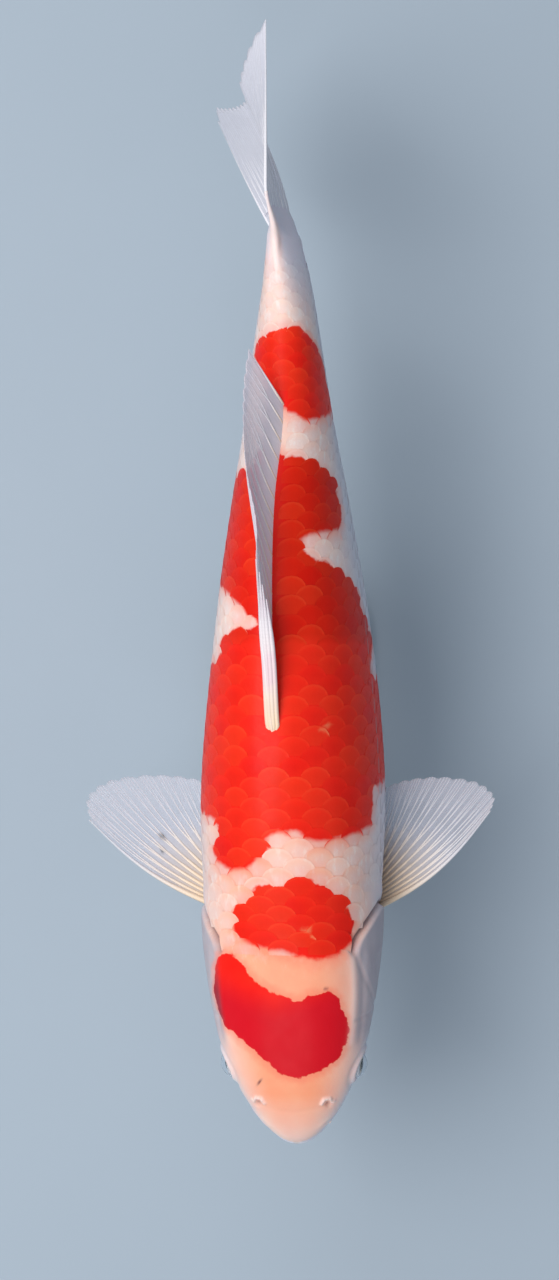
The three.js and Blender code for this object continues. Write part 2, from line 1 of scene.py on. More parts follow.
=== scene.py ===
# %% [markdown]
# # A koi carp on a display stand
#
# A life-size museum model of a red and white koi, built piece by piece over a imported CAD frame.
# The frame holds the plain solids: head, trunk, fins, stand. This lesson dresses them: one skin
# over all the flesh, about a thousand scales, clear eyes, feelers, and fins made of branching
# rays with a thin membrane between. Every cell makes one thing and prints what it made.

import math

import bmesh
import bpy
import numpy as np
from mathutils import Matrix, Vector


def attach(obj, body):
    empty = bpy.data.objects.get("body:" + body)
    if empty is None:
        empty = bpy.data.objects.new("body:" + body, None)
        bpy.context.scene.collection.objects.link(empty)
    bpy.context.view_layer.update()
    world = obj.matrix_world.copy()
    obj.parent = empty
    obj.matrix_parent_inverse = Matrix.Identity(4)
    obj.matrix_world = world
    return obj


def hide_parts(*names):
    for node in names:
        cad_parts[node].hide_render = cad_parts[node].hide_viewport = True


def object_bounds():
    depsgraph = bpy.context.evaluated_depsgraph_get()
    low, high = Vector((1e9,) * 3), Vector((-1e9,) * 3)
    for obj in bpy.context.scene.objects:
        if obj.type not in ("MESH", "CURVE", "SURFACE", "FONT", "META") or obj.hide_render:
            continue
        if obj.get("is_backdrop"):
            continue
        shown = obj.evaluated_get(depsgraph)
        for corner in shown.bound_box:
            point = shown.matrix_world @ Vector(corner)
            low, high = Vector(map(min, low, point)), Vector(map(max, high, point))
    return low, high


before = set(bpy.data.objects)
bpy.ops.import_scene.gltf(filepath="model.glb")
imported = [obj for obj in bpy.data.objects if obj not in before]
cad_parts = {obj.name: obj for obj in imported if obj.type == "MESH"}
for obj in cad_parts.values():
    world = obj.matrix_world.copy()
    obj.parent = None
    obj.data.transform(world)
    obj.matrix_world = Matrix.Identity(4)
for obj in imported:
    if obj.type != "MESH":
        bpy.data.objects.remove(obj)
cad_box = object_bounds()
MM = 0.001
print("frame loaded:", len(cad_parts), "nodes,", [round(c / MM) for c in cad_box[1] - cad_box[0]], "mm")

# %% [markdown]
# ## Camera
#
# The koi is looked at from straight above, as breeders look at one. The camera hangs 1.75 m over
# the floor with a long lens, so its sides hardly splay; a camera at hand's height would swell the
# shoulders. The colours are shown by the plain Standard view, because the filmic ones turn a
# strong red orange and pale.

# %% Camera
CAMERA_PLACE = (-0.00696, 0.0541, 1.75)          # metres, over the middle of the fish
camera_data = bpy.data.cameras.new("camera")
camera_data.sensor_fit = "VERTICAL"
camera_data.sensor_height = 36
camera_data.lens = 84.1
camera = bpy.data.objects.new("camera", camera_data)
camera.location = CAMERA_PLACE
bpy.context.scene.collection.objects.link(camera)
bpy.context.scene.camera = camera
bpy.context.scene.view_settings.view_transform = "Standard"
print("camera at", tuple(camera.location), "lens", camera_data.lens)

# %% [markdown]
# ## Lamps and sky
#
# One broad soft lamp on the fish's right gives the light its direction, a weak cool one opens the
# shadows on the other side, and two at the head and the tail keep the ends from going dark. A
# picture of a real sky could light the koi too, but it would mirror in the wet skin as streaks.
# Plain discs are quicker to steer, and an even pale sky fills the rest.

# %% Lamps and sky
def add_lamp(name, place, aim, size, watts, colour):
    data = bpy.data.lights.new(name, "AREA")
    data.shape = "DISK"
    data.size = size
    data.energy = watts
    data.color = colour
    lamp = bpy.data.objects.new(name, data)
    lamp.location = place
    away = lamp.location - type(lamp.location)(aim)
    lamp.rotation_euler = away.to_track_quat("Z", "Y").to_euler()
    bpy.context.scene.collection.objects.link(lamp)


add_lamp("key_lamp", (-1.0, 0.1, 1.9), (0, 0.05, 0.15), 1.5, 32, (1.0, 0.965, 0.93))
add_lamp("fill_lamp", (1.3, -0.3, 1.3), (0, 0.05, 0.15), 1.4, 1.6, (0.72, 0.85, 1.0))
add_lamp("front_lamp", (-0.3, -1.5, 1.3), (0, -0.15, 0.15), 1.2, 9, (1.0, 0.97, 0.95))
add_lamp("rear_lamp", (-0.5, 1.5, 1.5), (0, 0.25, 0.15), 1.2, 9, (1.0, 0.97, 0.95))

world = bpy.data.worlds.new("soft_sky")
world.use_nodes = True
world.node_tree.nodes["Background"].inputs["Color"].default_value = (0.80, 0.88, 1.0, 1)
world.node_tree.nodes["Background"].inputs["Strength"].default_value = 0.28
bpy.context.scene.world = world

# %% [markdown]
# ## Small tools for shaders
#
# Wiring shader nodes by hand is wordy, so short helpers do it: they add a node, plug in its
# values or links, do arithmetic, mix colours or read noise. A node group is made once and
# then placed in several materials, each with its own values. Nodes could be placed with the mouse
# as well, but a script can be read, changed in one place and run again.


# %% Shader helpers
def fill(tree, sockets, values):
    """Plugs a link or a plain value into each named input."""
    for name, value in values.items():
        if isinstance(value, bpy.types.NodeSocket):
            tree.links.new(value, sockets[name])
        else:
            sockets[name].default_value = value


def add_node(tree, kind, inputs=None, **settings):
    made = tree.nodes.new(kind)
    for name, value in settings.items():
        setattr(made, name, value)
    fill(tree, made.inputs, inputs or {})
    return made


def maths(tree, operation, a, b=0.0, c=0.0, clamp=False):
    node = add_node(tree, "ShaderNodeMath", {0: a, 1: b, 2: c}, operation=operation, use_clamp=clamp)
    return node.outputs[0]


def mix_colour(tree, factor, a, b):
    return add_node(tree, "ShaderNodeMix", {0: factor, 6: a, 7: b}, data_type="RGBA").outputs[2]


def ramp_between(tree, value, low, high, to_low=0.0, to_high=1.0):
    steps = {"Value": value, "From Min": low, "From Max": high, "To Min": to_low, "To Max": to_high}
    return add_node(tree, "ShaderNodeMapRange", steps, interpolation_type="SMOOTHSTEP").outputs[0]


def attribute(tree, name, output="Fac"):
    return add_node(tree, "ShaderNodeAttribute", attribute_name=name).outputs[output]


def noise(tree, vector, scale, detail=3.0, rough=0.55):
    sizes = {"Vector": vector, "Scale": scale, "Detail": detail, "Roughness": rough}
    return add_node(tree, "ShaderNodeTexNoise", sizes).outputs[0]


def object_place(tree):
    return add_node(tree, "ShaderNodeTexCoord").outputs["Object"]


def stretched(tree, vector, scale):
    """A place squeezed or drawn out, so that a noise read there comes out as streaks."""
    return add_node(tree, "ShaderNodeMapping", {"Vector": vector, "Scale": scale}).outputs[0]


def new_material(name):
    material = bpy.data.materials.new(name)
    material.use_nodes = True
    return material, material.node_tree, material.node_tree.nodes["Principled BSDF"]


def new_group(name, inputs, outputs):
    group = bpy.data.node_groups.new(name, "ShaderNodeTree")
    for label, (kind, value) in inputs.items():
        socket = group.interface.new_socket(label, in_out="INPUT", socket_type=kind)
        if value is not None:
            socket.default_value = value
    for label, kind in outputs.items():
        group.interface.new_socket(label, in_out="OUTPUT", socket_type=kind)
    return group, group.nodes.new("NodeGroupInput").outputs, group.nodes.new("NodeGroupOutput").inputs


def place_group(tree, group, inputs):
    placed = add_node(tree, "ShaderNodeGroup", node_tree=group)
    fill(tree, placed.inputs, inputs)
    return placed.outputs


FLOAT, COLOUR, VECTOR = "NodeSocketFloat", "NodeSocketColor", "NodeSocketVector"
print("shader helpers ready")

# %% [markdown]
# ## Small tools for meshes
#
# Most pieces of the koi are grids of points bent into shape. Blender's own operators could build
# them, but those depend on what is selected and active. Here numpy works out all the points and
# hands them over at once. Numbers stored at each point, called attributes, go with the mesh, and a
# material or a node tree can read them by name.

# %% Mesh helpers
def new_mesh_object(name, points, faces, edges=()):
    """Makes a mesh object from points in millimetres, in the frame's own axes."""
    mesh = bpy.data.meshes.new(name)
    mesh.from_pydata((np.asarray(points, float) * MM).tolist(), list(edges), faces)
    if faces:
        mesh.shade_smooth()
    made = bpy.data.objects.new(name, mesh)
    bpy.context.scene.collection.objects.link(made)
    return made


def store(made, name, values, kind="FLOAT"):
    values = np.asarray(values, np.float32)
    layer = made.data.attributes.new(name, kind, "POINT")
    layer.data.foreach_set("value" if kind == "FLOAT" else "vector", values.ravel())


def grid_faces(rows, columns, closed=False):
    """Quads of a grid of points laid out row after row; a closed one joins its last column to its first."""
    i, j = np.meshgrid(np.arange(rows - 1), np.arange(columns if closed else columns - 1), indexing="ij")
    here, beside = i * columns + j, i * columns + (j + 1) % columns
    quads = np.stack([here, beside, beside + columns, here + columns], -1).reshape(-1, 4)
    return quads.tolist()


def end_fans(rows, columns):
    """Triangles that close a tube of rings; each fan meets in a point that follows the grid's own."""
    first, final = rows * columns, rows * columns + 1
    base = (rows - 1) * columns
    fan = [[first, (j + 1) % columns, j] for j in range(columns)]
    return fan + [[final, base + j, base + (j + 1) % columns] for j in range(columns)]


def corner_points(made):
    """Which point each corner of each face uses."""
    corners = np.empty(len(made.data.loops), np.int32)
    made.data.loops.foreach_get("vertex_index", corners)
    return corners


def face_spans(made):
    """Where each face's corners start in the list of all corners, and how many it has."""
    return [(p.loop_start, p.loop_total) for p in made.data.polygons]


def write_map(made, name, places):
    """Stores a flat map: a place on the texture sheet for each corner."""
    layer = made.data.uv_layers.new(name=name)
    layer.data.foreach_set("uv", places.astype(np.float32).ravel())


def count_triangles(made):
    return sum(len(p.vertices) - 2 for p in made.data.polygons)


print("mesh helpers ready")

# %% [markdown]
# ## The floor
#
# A plain pale floor, faintly mottled so that it isn't a flat colour. A plane would do, but its
# corners would show from the side, so it is a wide disc, out to where the camera can't see its
# edge. It is marked as stage, so it isn't counted as part of the koi.

# %% Floor
floor_mat, tree, shader = new_material("pale_floor")
mottle = noise(tree, object_place(tree), 3.0)
tone = mix_colour(tree, mottle, (0.35, 0.43, 0.51, 1), (0.39, 0.47, 0.55, 1))
fill(tree, shader.inputs, {"Base Color": tone, "Roughness": 0.75})
spokes, radius = 96, 9000
around = [2 * math.pi * k / spokes for k in range(spokes)]
rim = [(radius * math.cos(a), radius * math.sin(a), 0) for a in around]
floor = new_mesh_object("floor", rim, [list(range(spokes))])
floor.data.materials.append(floor_mat)
floor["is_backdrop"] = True
print("floor is", 2 * radius * MM, "m across")

# %% [markdown]
# ## The body's form
#
# The body is shaped straight first: x across the fish (its left is +x), s the distance behind
# the snout and z the height over the axis. A table gives the half width, back, belly and widest
# level at some distances, and a smooth curve runs through them. Read against the root of s, the
# curve rounds the snout off. Only at the end is the fish posed: each section rolls a little
# about the axis and the tail bends, as in a swimming fish. A block could be sculpted by hand
# instead, but a table can be measured and changed. All numbers are millimetres.

# %% Sizes of the body
BODY_LENGTH, AXIS_HEIGHT, SNOUT_AHEAD = 480, 150, 215
HALF_WIDTH, BACK, BELLY, WIDEST = 1, 2, 3, 4         # columns of the table, after s
SECTIONS = np.array([                                # s, half width, back, belly, widest level
    (0, 0, -4, -4, -4), (7, 14, 9, -13, -3), (18, 22.6, 18, -21, 0), (44, 35.6, 33, -33, 5),
    (75, 43.3, 45.5, -44, 5), (105, 46.8, 53.5, -53, 4), (140, 47.7, 60, -61, 4),
    (180, 49, 64.5, -65.5, 4), (225, 46.4, 65.5, -65, 4), (285, 39.5, 60, -57.5, 3),
    (340, 31.3, 50, -46, 2), (390, 23.5, 39.5, -34.5, 1), (435, 17.2, 31, -27.5, 0),
    (465, 12.4, 28.5, -27, 0), (480, 9.3, 29, -28.5, 0),
])
# degrees of roll, then millimetres to the left, at some distances behind the snout
ROLL = np.array([(0, 5), (90, 5.5), (150, 8), (225, 10.5), (300, 11.3), (345, 10), (385, 4.5),
                 (430, 4.2), (480, 1), (510, 0), (700, 0)])
SWAY = np.array([(0, 2), (30, 1.7), (60, 1), (130, 0.6), (235, 1.1), (280, 0.7), (310, 0), (350, -0.8),
                 (385, -1.7), (425, -2.5), (456, -2.8), (480, -3.6), (520, -3.6), (700, -3.6)])
COAT = 0.5                                           # how deep the skin lies under the scales


def smoothstep(x, a, b):
    t = np.clip((x - a) / (b - a), 0, 1)
    return t * t * (3 - 2 * t)


def lerp(a, b, t):
    return a + (b - a) * t


def bell(x, width):
    return np.exp(-(x / width) ** 2)


def read(stations, values, at, measure=lambda v: v):
    """A smooth curve through a table's values, as the frame's own solids use."""
    x, q = measure(stations), measure(np.clip(at, stations[0], stations[-1]))
    slope = np.empty(len(x))
    slope[1:-1] = (values[2:] - values[:-2]) / (x[2:] - x[:-2])
    slope[0] = (values[1] - values[0]) / (x[1] - x[0])
    slope[-1] = (values[-1] - values[-2]) / (x[-1] - x[-2])
    i = np.clip(np.searchsorted(x, q, side="right") - 1, 0, len(x) - 2)
    step = x[i + 1] - x[i]
    u = (q - x[i]) / step
    return ((2 * u**3 - 3 * u**2 + 1) * values[i] + (u**3 - 2 * u**2 + u) * step * slope[i]
            + (3 * u**2 - 2 * u**3) * values[i + 1] + (u**3 - u**2) * step * slope[i + 1])


def section(s, column):
    return read(SECTIONS[:, 0], SECTIONS[:, column], s, np.sqrt)


def back_at(s):
    return section(s, BACK)


def belly_at(s):
    return section(s, BELLY)


def trunk_point(s, angle, out=0.0):
    """A point of the body, moved out by `out`; the angle runs from the back over the left side."""
    head = 1 - smoothstep(s, 70, 170)
    up = np.cos(angle) > 0
    power = 2 / np.where(up, 2.05 + 0.3 * head, 2.2 + 0.15 * head)
    wide = section(s, WIDEST)
    edge = np.where(up, back_at(s), belly_at(s)) - wide
    half = np.maximum(section(s, HALF_WIDTH) + out, 0)
    x = np.sign(np.sin(angle)) * np.abs(np.sin(angle)) ** power * half
    z = wide + np.abs(np.cos(angle)) ** power * (edge + np.sign(edge) * out)
    return np.stack(np.broadcast_arrays(x, s, z), -1)


print("back at 200 mm:", round(float(back_at(200.0)), 1), "mm over the axis")

# %% [markdown]
# ### The pose
#
# A swimming koi rolls a little and sways its tail. An armature could bend the finished mesh, but
# then scales, eyes and fins would each need weights. One function that moves any point serves all
# of them, so they stay together: it rolls each section, shifts it sideways and lifts it.

# %% The pose
def posed(points):
    """Rolls, bends and lifts points given as (x, s, z), and returns them in the frame's axes, still mm."""
    x, s, z = points[..., 0], points[..., 1], points[..., 2]
    roll = np.radians(read(ROLL[:, 0], ROLL[:, 1], s))
    lean = -5.2 * smoothstep(s, 425, 486) * smoothstep(z, 6, 29)
    across = x * np.cos(roll) - z * np.sin(roll) + read(SWAY[:, 0], SWAY[:, 1], s) + lean
    height = x * np.sin(roll) + z * np.cos(roll) + AXIS_HEIGHT
    return np.stack([across, s - SNOUT_AHEAD, height], -1)


probe = posed(trunk_point(np.array([0.0, 480.0]), np.array([0.0, 0.0])))
print("snout and tail root sit at", probe.round(1).tolist())

# %% [markdown]
# ## The tail fin's surface
#
# The skin has to run onto the tail fin without a step, so the fin's surface is defined before
# the skin. It is a cupped, forked sheet: u runs from its upper to its lower leading ray and v
# from root to edge. Seen from above its top edge is a nearly straight ridge, its middle swells
# to the left and then swings right, and its lower lobe swings out to the right from the start.
# A flat fin could be bent with modifiers, but then the skin would have nothing to follow.

# %% Tail fin surface
# each lobe has its reach behind the stalk, its spread in height and the rounding of its tip
TAIL = {"rays": 17, "root": 27.5, "upper": (107, 68, 0), "lower": (87, -66, 9), "fork": 76}
TAIL_FLESH = {"half": 8.6, "fade": 11.0}             # half thickness, and how soon it thins out


def scallop(u, rays, depth):
    """How far a fin's edge draws in between two rays."""
    return 1 - depth * (1 - np.abs(np.cos(math.pi * u * rays)))


def tail_reach(u):
    lobe = np.abs(2 * u - 1)
    tip, rounding = (np.where(u < 0.5, TAIL["upper"][k], TAIL["lower"][k]) for k in (0, 2))
    reach = lerp(TAIL["fork"], tip, lobe**1.8) - rounding * smoothstep(lobe, 0.8, 1)
    return reach * scallop(u, TAIL["rays"], 0.02)


def tail_fin(u, v):
    """A point of the tail fin, by u across the rays and v along them."""
    lobe = np.abs(2 * u - 1)
    along = v * (tail_reach(u) + 3) - 3
    behind = np.maximum(along, 0)
    top = -5.4 * smoothstep(along, 0, 26)
    middle = 4.2 * smoothstep(along, -2, 20) - 34.5 * (behind / 87) ** 1.6
    bottom = -41 * (behind / 86) ** 0.95
    sway = top * (1 - u) * (1 - 2 * u) + middle * 4 * u * (1 - u) + bottom * u * (2 * u - 1)
    opening = np.sin((math.pi / 2) * np.minimum(1, v * (1 + 0.12 * lobe))) ** 0.9
    spread = np.where(u < 0.5, TAIL["upper"][1], TAIL["lower"][1]) * lobe**1.1
    height = lerp(TAIL["root"] * (1 - 2 * u), spread, opening)
    return np.stack(np.broadcast_arrays(sway, BODY_LENGTH + along, height), -1)


def tail_root(along, angle, out=0.0):
    """The fleshy root of the tail fin: a ring round its sheet at a distance behind the stalk."""
    u = np.clip((1 - np.cos(angle)) / 2, 0, 1)
    v = (along + 3) / (tail_reach(u) + 3)
    middle = tail_fin(u, v)
    round_off = np.abs(np.sin(angle))
    half = TAIL_FLESH["half"] * round_off * np.exp(-(along / TAIL_FLESH["fade"]) ** 1.3)
    half = half * (1 - smoothstep(along, 12, 23))
    half = half + (0.75 * (1 - smoothstep(along, 10, 21)) + out) * np.minimum(1, 4 * round_off)
    middle[..., 0] += np.sign(np.sin(angle)) * np.maximum(half, 0.05)
    return middle


def body_point(s, angle, out=0.0):
    """The whole body with the tail fin's root: the trunk's rings change into the root's over 8 mm."""
    s, angle, out = np.broadcast_arrays(np.asarray(s, float), angle, out)
    trunk = trunk_point(np.minimum(s, BODY_LENGTH), angle, out)
    root = tail_root(np.maximum(s - BODY_LENGTH, 0), angle, out)
    change = smoothstep(s, BODY_LENGTH - 2, BODY_LENGTH + 6)[..., None]
    trunk = trunk + np.where(s > BODY_LENGTH, s - BODY_LENGTH, 0)[..., None] * np.array([0, 1, 0])
    return lerp(trunk, root, change)


print("tail fin's upper tip:", posed(tail_fin(np.array(0.0), np.array(1.0))).round(1).tolist())

# %% [markdown]
# ## Unrolling the body
#
# Scales and colour patches lie on the body's surface, so they need a flat map of it: how far
# down from the middle of the back a point lies, measured round the body, and how far behind the
# snout. Blender's own Unwrap would give some map too, but not one in millimetres. This one is a
# table, worked out once and read by interpolation, and it later gives each scale its place on
# the texture sheet.

# %% The map from angle to distance round the body
MAP_S = np.linspace(0.2, 506, 420)
MAP_ANGLE = np.radians(np.linspace(-250, 250, 501))
map_rings = body_point(MAP_S[:, None], MAP_ANGLE[None, :], -COAT)
steps = np.linalg.norm(np.diff(map_rings, axis=1), axis=2)
MAP_ARC = np.concatenate([np.zeros((len(MAP_S), 1)), np.cumsum(steps, 1)], 1)
MAP_ARC -= MAP_ARC[:, [len(MAP_ANGLE) // 2]]


def read_map(table, s, angle):
    """A value of a table over (s, angle), between its entries."""
    i = np.clip((s - MAP_S[0]) / (MAP_S[1] - MAP_S[0]), 0, len(MAP_S) - 1.001)
    j = np.clip((angle - MAP_ANGLE[0]) / (MAP_ANGLE[1] - MAP_ANGLE[0]), 0, len(MAP_ANGLE) - 1.001)
    i0, j0 = i.astype(int), j.astype(int)
    a, b = i - i0, j - j0
    top = table[i0, j0] * (1 - b) + table[i0, j0 + 1] * b
    low = table[i0 + 1, j0] * (1 - b) + table[i0 + 1, j0 + 1] * b
    return top * (1 - a) + low * a


def arc_of(s, angle):
    return read_map(MAP_ARC, np.asarray(s, float), np.asarray(angle, float))


def half_girth(s):
    """Distance round the body from the middle of the back to the middle of the belly."""
    return arc_of(s, np.full(np.shape(s), math.pi))


print("girth at 180 mm:", round(2 * float(half_girth(np.array([180.0]))[0])), "mm")

# %% [markdown]
# ## The markings
#
# A koi of this kind is white with patches of red, called hi. Each patch here is a closed smooth
# line through a few points, given as a breeder would sketch it from above: millimetres to the
# left of the midline, millimetres behind the snout. Past the widest place the first number goes on
# down the flank. On the unrolled body each point of the skin then gets its distance to the
# nearest edge, positive inside. Painting on the mesh is the usual way; a distance draws the same
# patches at any fineness, and the shader can make their edges crisp or blurred.

# %% Outlines of the red patches
PATCHES = {
    "head": [(-38, 104), (-30, 104), (-17, 90), (-7, 85), (3, 82), (10, 85), (21, 85), (26, 76), (29, 65),
             (26, 54), (19, 46), (6, 40), (-5, 41), (-16, 50), (-27, 60), (-36, 68), (-41, 82), (-41, 95)],
    "shoulder": [(5, 150), (14, 145), (25, 138), (31, 127), (30, 113), (21, 105), (8, 104), (-4, 108),
                 (-16, 110), (-26, 114), (-30, 123), (-26, 134), (-17, 143), (-5, 145)],
    "saddle": [(-64, 190), (-50, 180), (-38, 173), (-42, 160), (-36, 152), (-26, 151), (-17, 157), (-13, 168),
               (1, 171), (10, 166), (24, 167), (38, 171), (42, 182), (41, 250), (38, 276), (-12, 285),
               (-20, 277), (-28, 275), (-36, 269), (-42, 257), (-56, 252), (-69, 226)],
    "left_flank": [(38, 193), (49, 195), (60, 202), (63, 222), (54, 240), (40, 250), (34, 222)],
    "saddle_rear": [(-14, 264), (36, 264), (39, 279), (37, 286), (32, 298), (23, 306), (7, 314), (4, 321),
                    (13, 325), (25, 329), (24, 347), (20, 356), (9, 363), (-3, 365), (-14, 362), (-16, 300)],
    "right_rear": [(-10, 272), (-19, 278), (-28, 288), (-37, 297), (-46, 304), (-56, 322), (-50, 344),
                  (-36, 356), (-24, 358), (-10, 364)],
    "tail": [(-20, 422), (-17, 429), (-7, 433), (2, 434), (8, 430), (13, 424), (16, 417), (18, 406),
             (21, 392), (16, 387), (7, 384), (2, 387), (-4, 390), (-13, 404), (-19, 416)],
}


def between(a, b, c, d, t):
    """A point between b and c on the smooth line through a, b, c and d."""
    return b + 0.5 * t * (c - a + t * (2 * a - 5 * b + 4 * c - d + t * (3 * (b - c) + d - a)))


def closed_spline(corners, per_span=8):
    """A smooth closed line through the corners."""
    p = np.array(corners, float)
    before, after, later = np.roll(p, 1, 0), np.roll(p, -1, 0), np.roll(p, -2, 0)
    t = (np.arange(per_span) / per_span)[None, :, None]
    a, b, c, d = (q[:, None] for q in (before, p, after, later))
    return between(a, b, c, d, t).reshape(-1, 2)


def unroll_from_above(across, s):
    """Distance round the body of a place given by how far across it is, seen from above."""
    angles = np.radians(np.linspace(-180, 180, 721))
    arcs = np.empty(len(s))
    for k, (x, at) in enumerate(zip(across, s)):
        ring = posed(trunk_point(np.full(len(angles), min(at, BODY_LENGTH)), angles, -COAT))
        left, right = int(ring[:, 0].argmax()), int(ring[:, 0].argmin())
        arc = arc_of(np.full(len(angles), at), angles)
        seen = slice(right, left + 1)
        inside = np.interp(x, ring[seen, 0], arc[seen])
        beyond = max(x - ring[left, 0], 0) + min(x - ring[right, 0], 0)
        arcs[k] = inside + beyond
    return arcs


outlines = {}
for name, corners in PATCHES.items():
    line = closed_spline(corners)
    outlines[name] = np.stack([unroll_from_above(line[:, 0], line[:, 1]), line[:, 1]], -1)
print("patches:", {name: len(line) for name, line in outlines.items()})

# %% [markdown]
# ### Which side of an edge
#
# For each point the nearest piece of an outline is looked for, and the outline's crossings with a
# line drawn sideways tell inside from outside. A koi's scales overlap towards the tail, so the
# edge of a patch that faces the snout looks different from the others. How much it faces the snout
# is measured too.

# %% Distance to a patch's edge
def edge_distance(line, places):
    """Signed distance to a closed line, positive inside, and how much that edge faces the snout."""
    best = np.full(len(places), 1e9)
    facing = np.zeros(len(places))
    inside = np.zeros(len(places), bool)
    for a, b in zip(line, np.roll(line, -1, 0)):
        span = b - a
        along = np.clip((places - a) @ span / (span @ span), 0, 1)
        off = places - a - along[:, None] * span
        far = np.hypot(off[:, 0], off[:, 1])
        closer = far < best
        best[closer] = far[closer]
        facing[closer] = -off[closer, 1] / np.maximum(far[closer], 1e-6)
        crosses = (a[1] > places[:, 1]) != (b[1] > places[:, 1])
        side = a[0] + (places[:, 1] - a[1]) * span[0] / (span[1] if abs(span[1]) > 1e-9 else 1e-9)
        inside ^= crosses & (places[:, 0] < side)
    sign = np.where(inside, 1.0, -1.0)
    return best * sign, facing * -sign


def red_distance(places):
    """The greatest of the patches' distances, how much its edge faces the snout, and if it is the head's."""
    result = np.full(len(places), -40.0)
    front = np.zeros(len(places))
    is_head = np.zeros(len(places))
    for name, line in outlines.items():
        low, high = line.min(0) - 40, line.max(0) + 40
        near = np.flatnonzero(((places > low) & (places < high)).all(1))
        distance, facing = edge_distance(line, places[near])
        wins = distance > result[near]
        result[near[wins]] = distance[wins]
        front[near[wins]] = facing[wins]
        is_head[near[wins]] = name == "head"
    return result, front, is_head


depth = float(red_distance(np.array([[0.0, 200.0]]))[0][0])
print("the middle of the back at 200 mm is", round(depth, 1), "mm inside red")

# %% [markdown]
# ## The skin
#
# One mesh covers head, gill covers, jaw, trunk and tail stalk, so no seam shows anywhere. It is
# a stack of rings from the snout to the tail fin's root, close together on the head where the
# detail is. The head's features are then pressed in or raised along the surface, like a
# sculptor's tool strokes: each one is a smooth function of the distance to a point or a line. Sculpting
# by hand could give the same, but functions repeat exactly and stay symmetrical.

# %% Rings of the skin
HEAD_END, SKIN_END = 130, 503
SKIN_SIDES = 232
ring_list, place = [], 0.06
while place < SKIN_END:
    ring_list.append(place)
    on_head = 0.16 + 0.62 * float(smoothstep(np.array(place), 0, 9))
    place += on_head if place < HEAD_END else 1.75
SKIN_S = np.array(ring_list)
SKIN_ANGLE = np.linspace(-math.pi, math.pi, SKIN_SIDES, endpoint=False)
S, ANGLE = np.meshgrid(SKIN_S, SKIN_ANGLE, indexing="ij")
SKIN_ARC = arc_of(S.ravel(), ANGLE.ravel()).reshape(S.shape)
print("skin:", len(SKIN_S), "rings of", SKIN_SIDES)

# %% [markdown]
# ### Where the scales begin
#
# The head is bare and the body is scaled. The line between them runs over the nape, forward on
# the side of the neck, back behind the gill cover and under the breast. The skin lies deeper
# behind that line, by the scales' thickness, so the scales come up level with the bare head.


# %% The edge of the scaled part
# distance round the body from the middle of the back, and where the scales begin there
SCALES_FROM = np.array([(0, 106), (20, 106), (32, 109), (38, 116), (44, 124), (52, 132), (62, 138), (76, 142),
                        (96, 141), (118, 133), (140, 122), (200, 118)], float)


def scales_from(arc):
    return np.interp(np.abs(arc), SCALES_FROM[:, 0], SCALES_FROM[:, 1])


scaled = smoothstep(S - scales_from(SKIN_ARC), -9, 0)
form = body_point(S, ANGLE, -COAT * scaled)
along_rings = np.gradient(form, axis=0)
round_rings = np.roll(form, -1, 1) - np.roll(form, 1, 1)
normals = np.cross(round_rings, along_rings)
normals /= np.maximum(np.linalg.norm(normals, axis=2, keepdims=True), 1e-9)
if normals[:, SKIN_SIDES // 2, 2].mean() < 0:
    normals = -normals
print("the back's normals point up by", round(float(normals[:, SKIN_SIDES // 2, 2].mean()), 2))

# %% [markdown]
# ### Features of the head
#
# The features are strokes on the skin: each adds to or takes from one height, in millimetres,
# and the skin is moved along its normals by the sum. First the eye sockets. A carp has no lids;
# its eye sits in a soft raised ring.

# %% Eye sockets
EYE = {"side": 30.9, "s": 44.0, "z": 7.0}
NOSTRIL = {"side": 18.8, "s": 23.5}
FAR = 60                              # added to a distance where a stroke shouldn't reach
COVER = [(106, 38), (121, 27), (128, 4), (121, -28), (99, -50), (82, -45), (74, -14), (82, 18)]
X, Z = form[..., 0], form[..., 2]
SIDE = np.abs(X)
stroke = np.zeros(S.shape)


def from_line(points, first=S, second=Z):
    """Distance to an open line of corners, here in the side view, and how far along it, from 0 to 1."""
    p = np.array(points, float)
    best = np.full(S.shape, 1e9)
    part = np.zeros(S.shape)
    for k, (a, b) in enumerate(zip(p[:-1], p[1:])):
        span = b - a
        t = np.clip(((first - a[0]) * span[0] + (second - a[1]) * span[1]) / (span @ span), 0, 1)
        far = np.hypot(first - a[0] - t * span[0], second - a[1] - t * span[1])
        closer = far < best
        best[closer] = far[closer]
        part[closer] = (k + t[closer]) / (len(p) - 1)
    return best, part


from_eye = np.hypot(S - EYE["s"], Z - EYE["z"]) + FAR * (SIDE < 18)
stroke += 0.95 * bell(from_eye - 8.6, 1.5) - 0.45 * bell(from_eye - 11.8, 1.6)
stroke -= 4.5 * (1 - smoothstep(from_eye, 4.2, 7.0))
print("eye sockets", round(-float(stroke.min()), 1), "mm deep")

# %% [markdown]
# ### Mouth and nostrils
#
# The mouth is a slit between two lips, with a crease round the upper lip, where the jaw slides
# out when a carp feeds. Each nostril is a small pit with a thin frilled flap curled round behind
# it. A cut and an extrusion would do both, but would leave hard edges to smooth away.

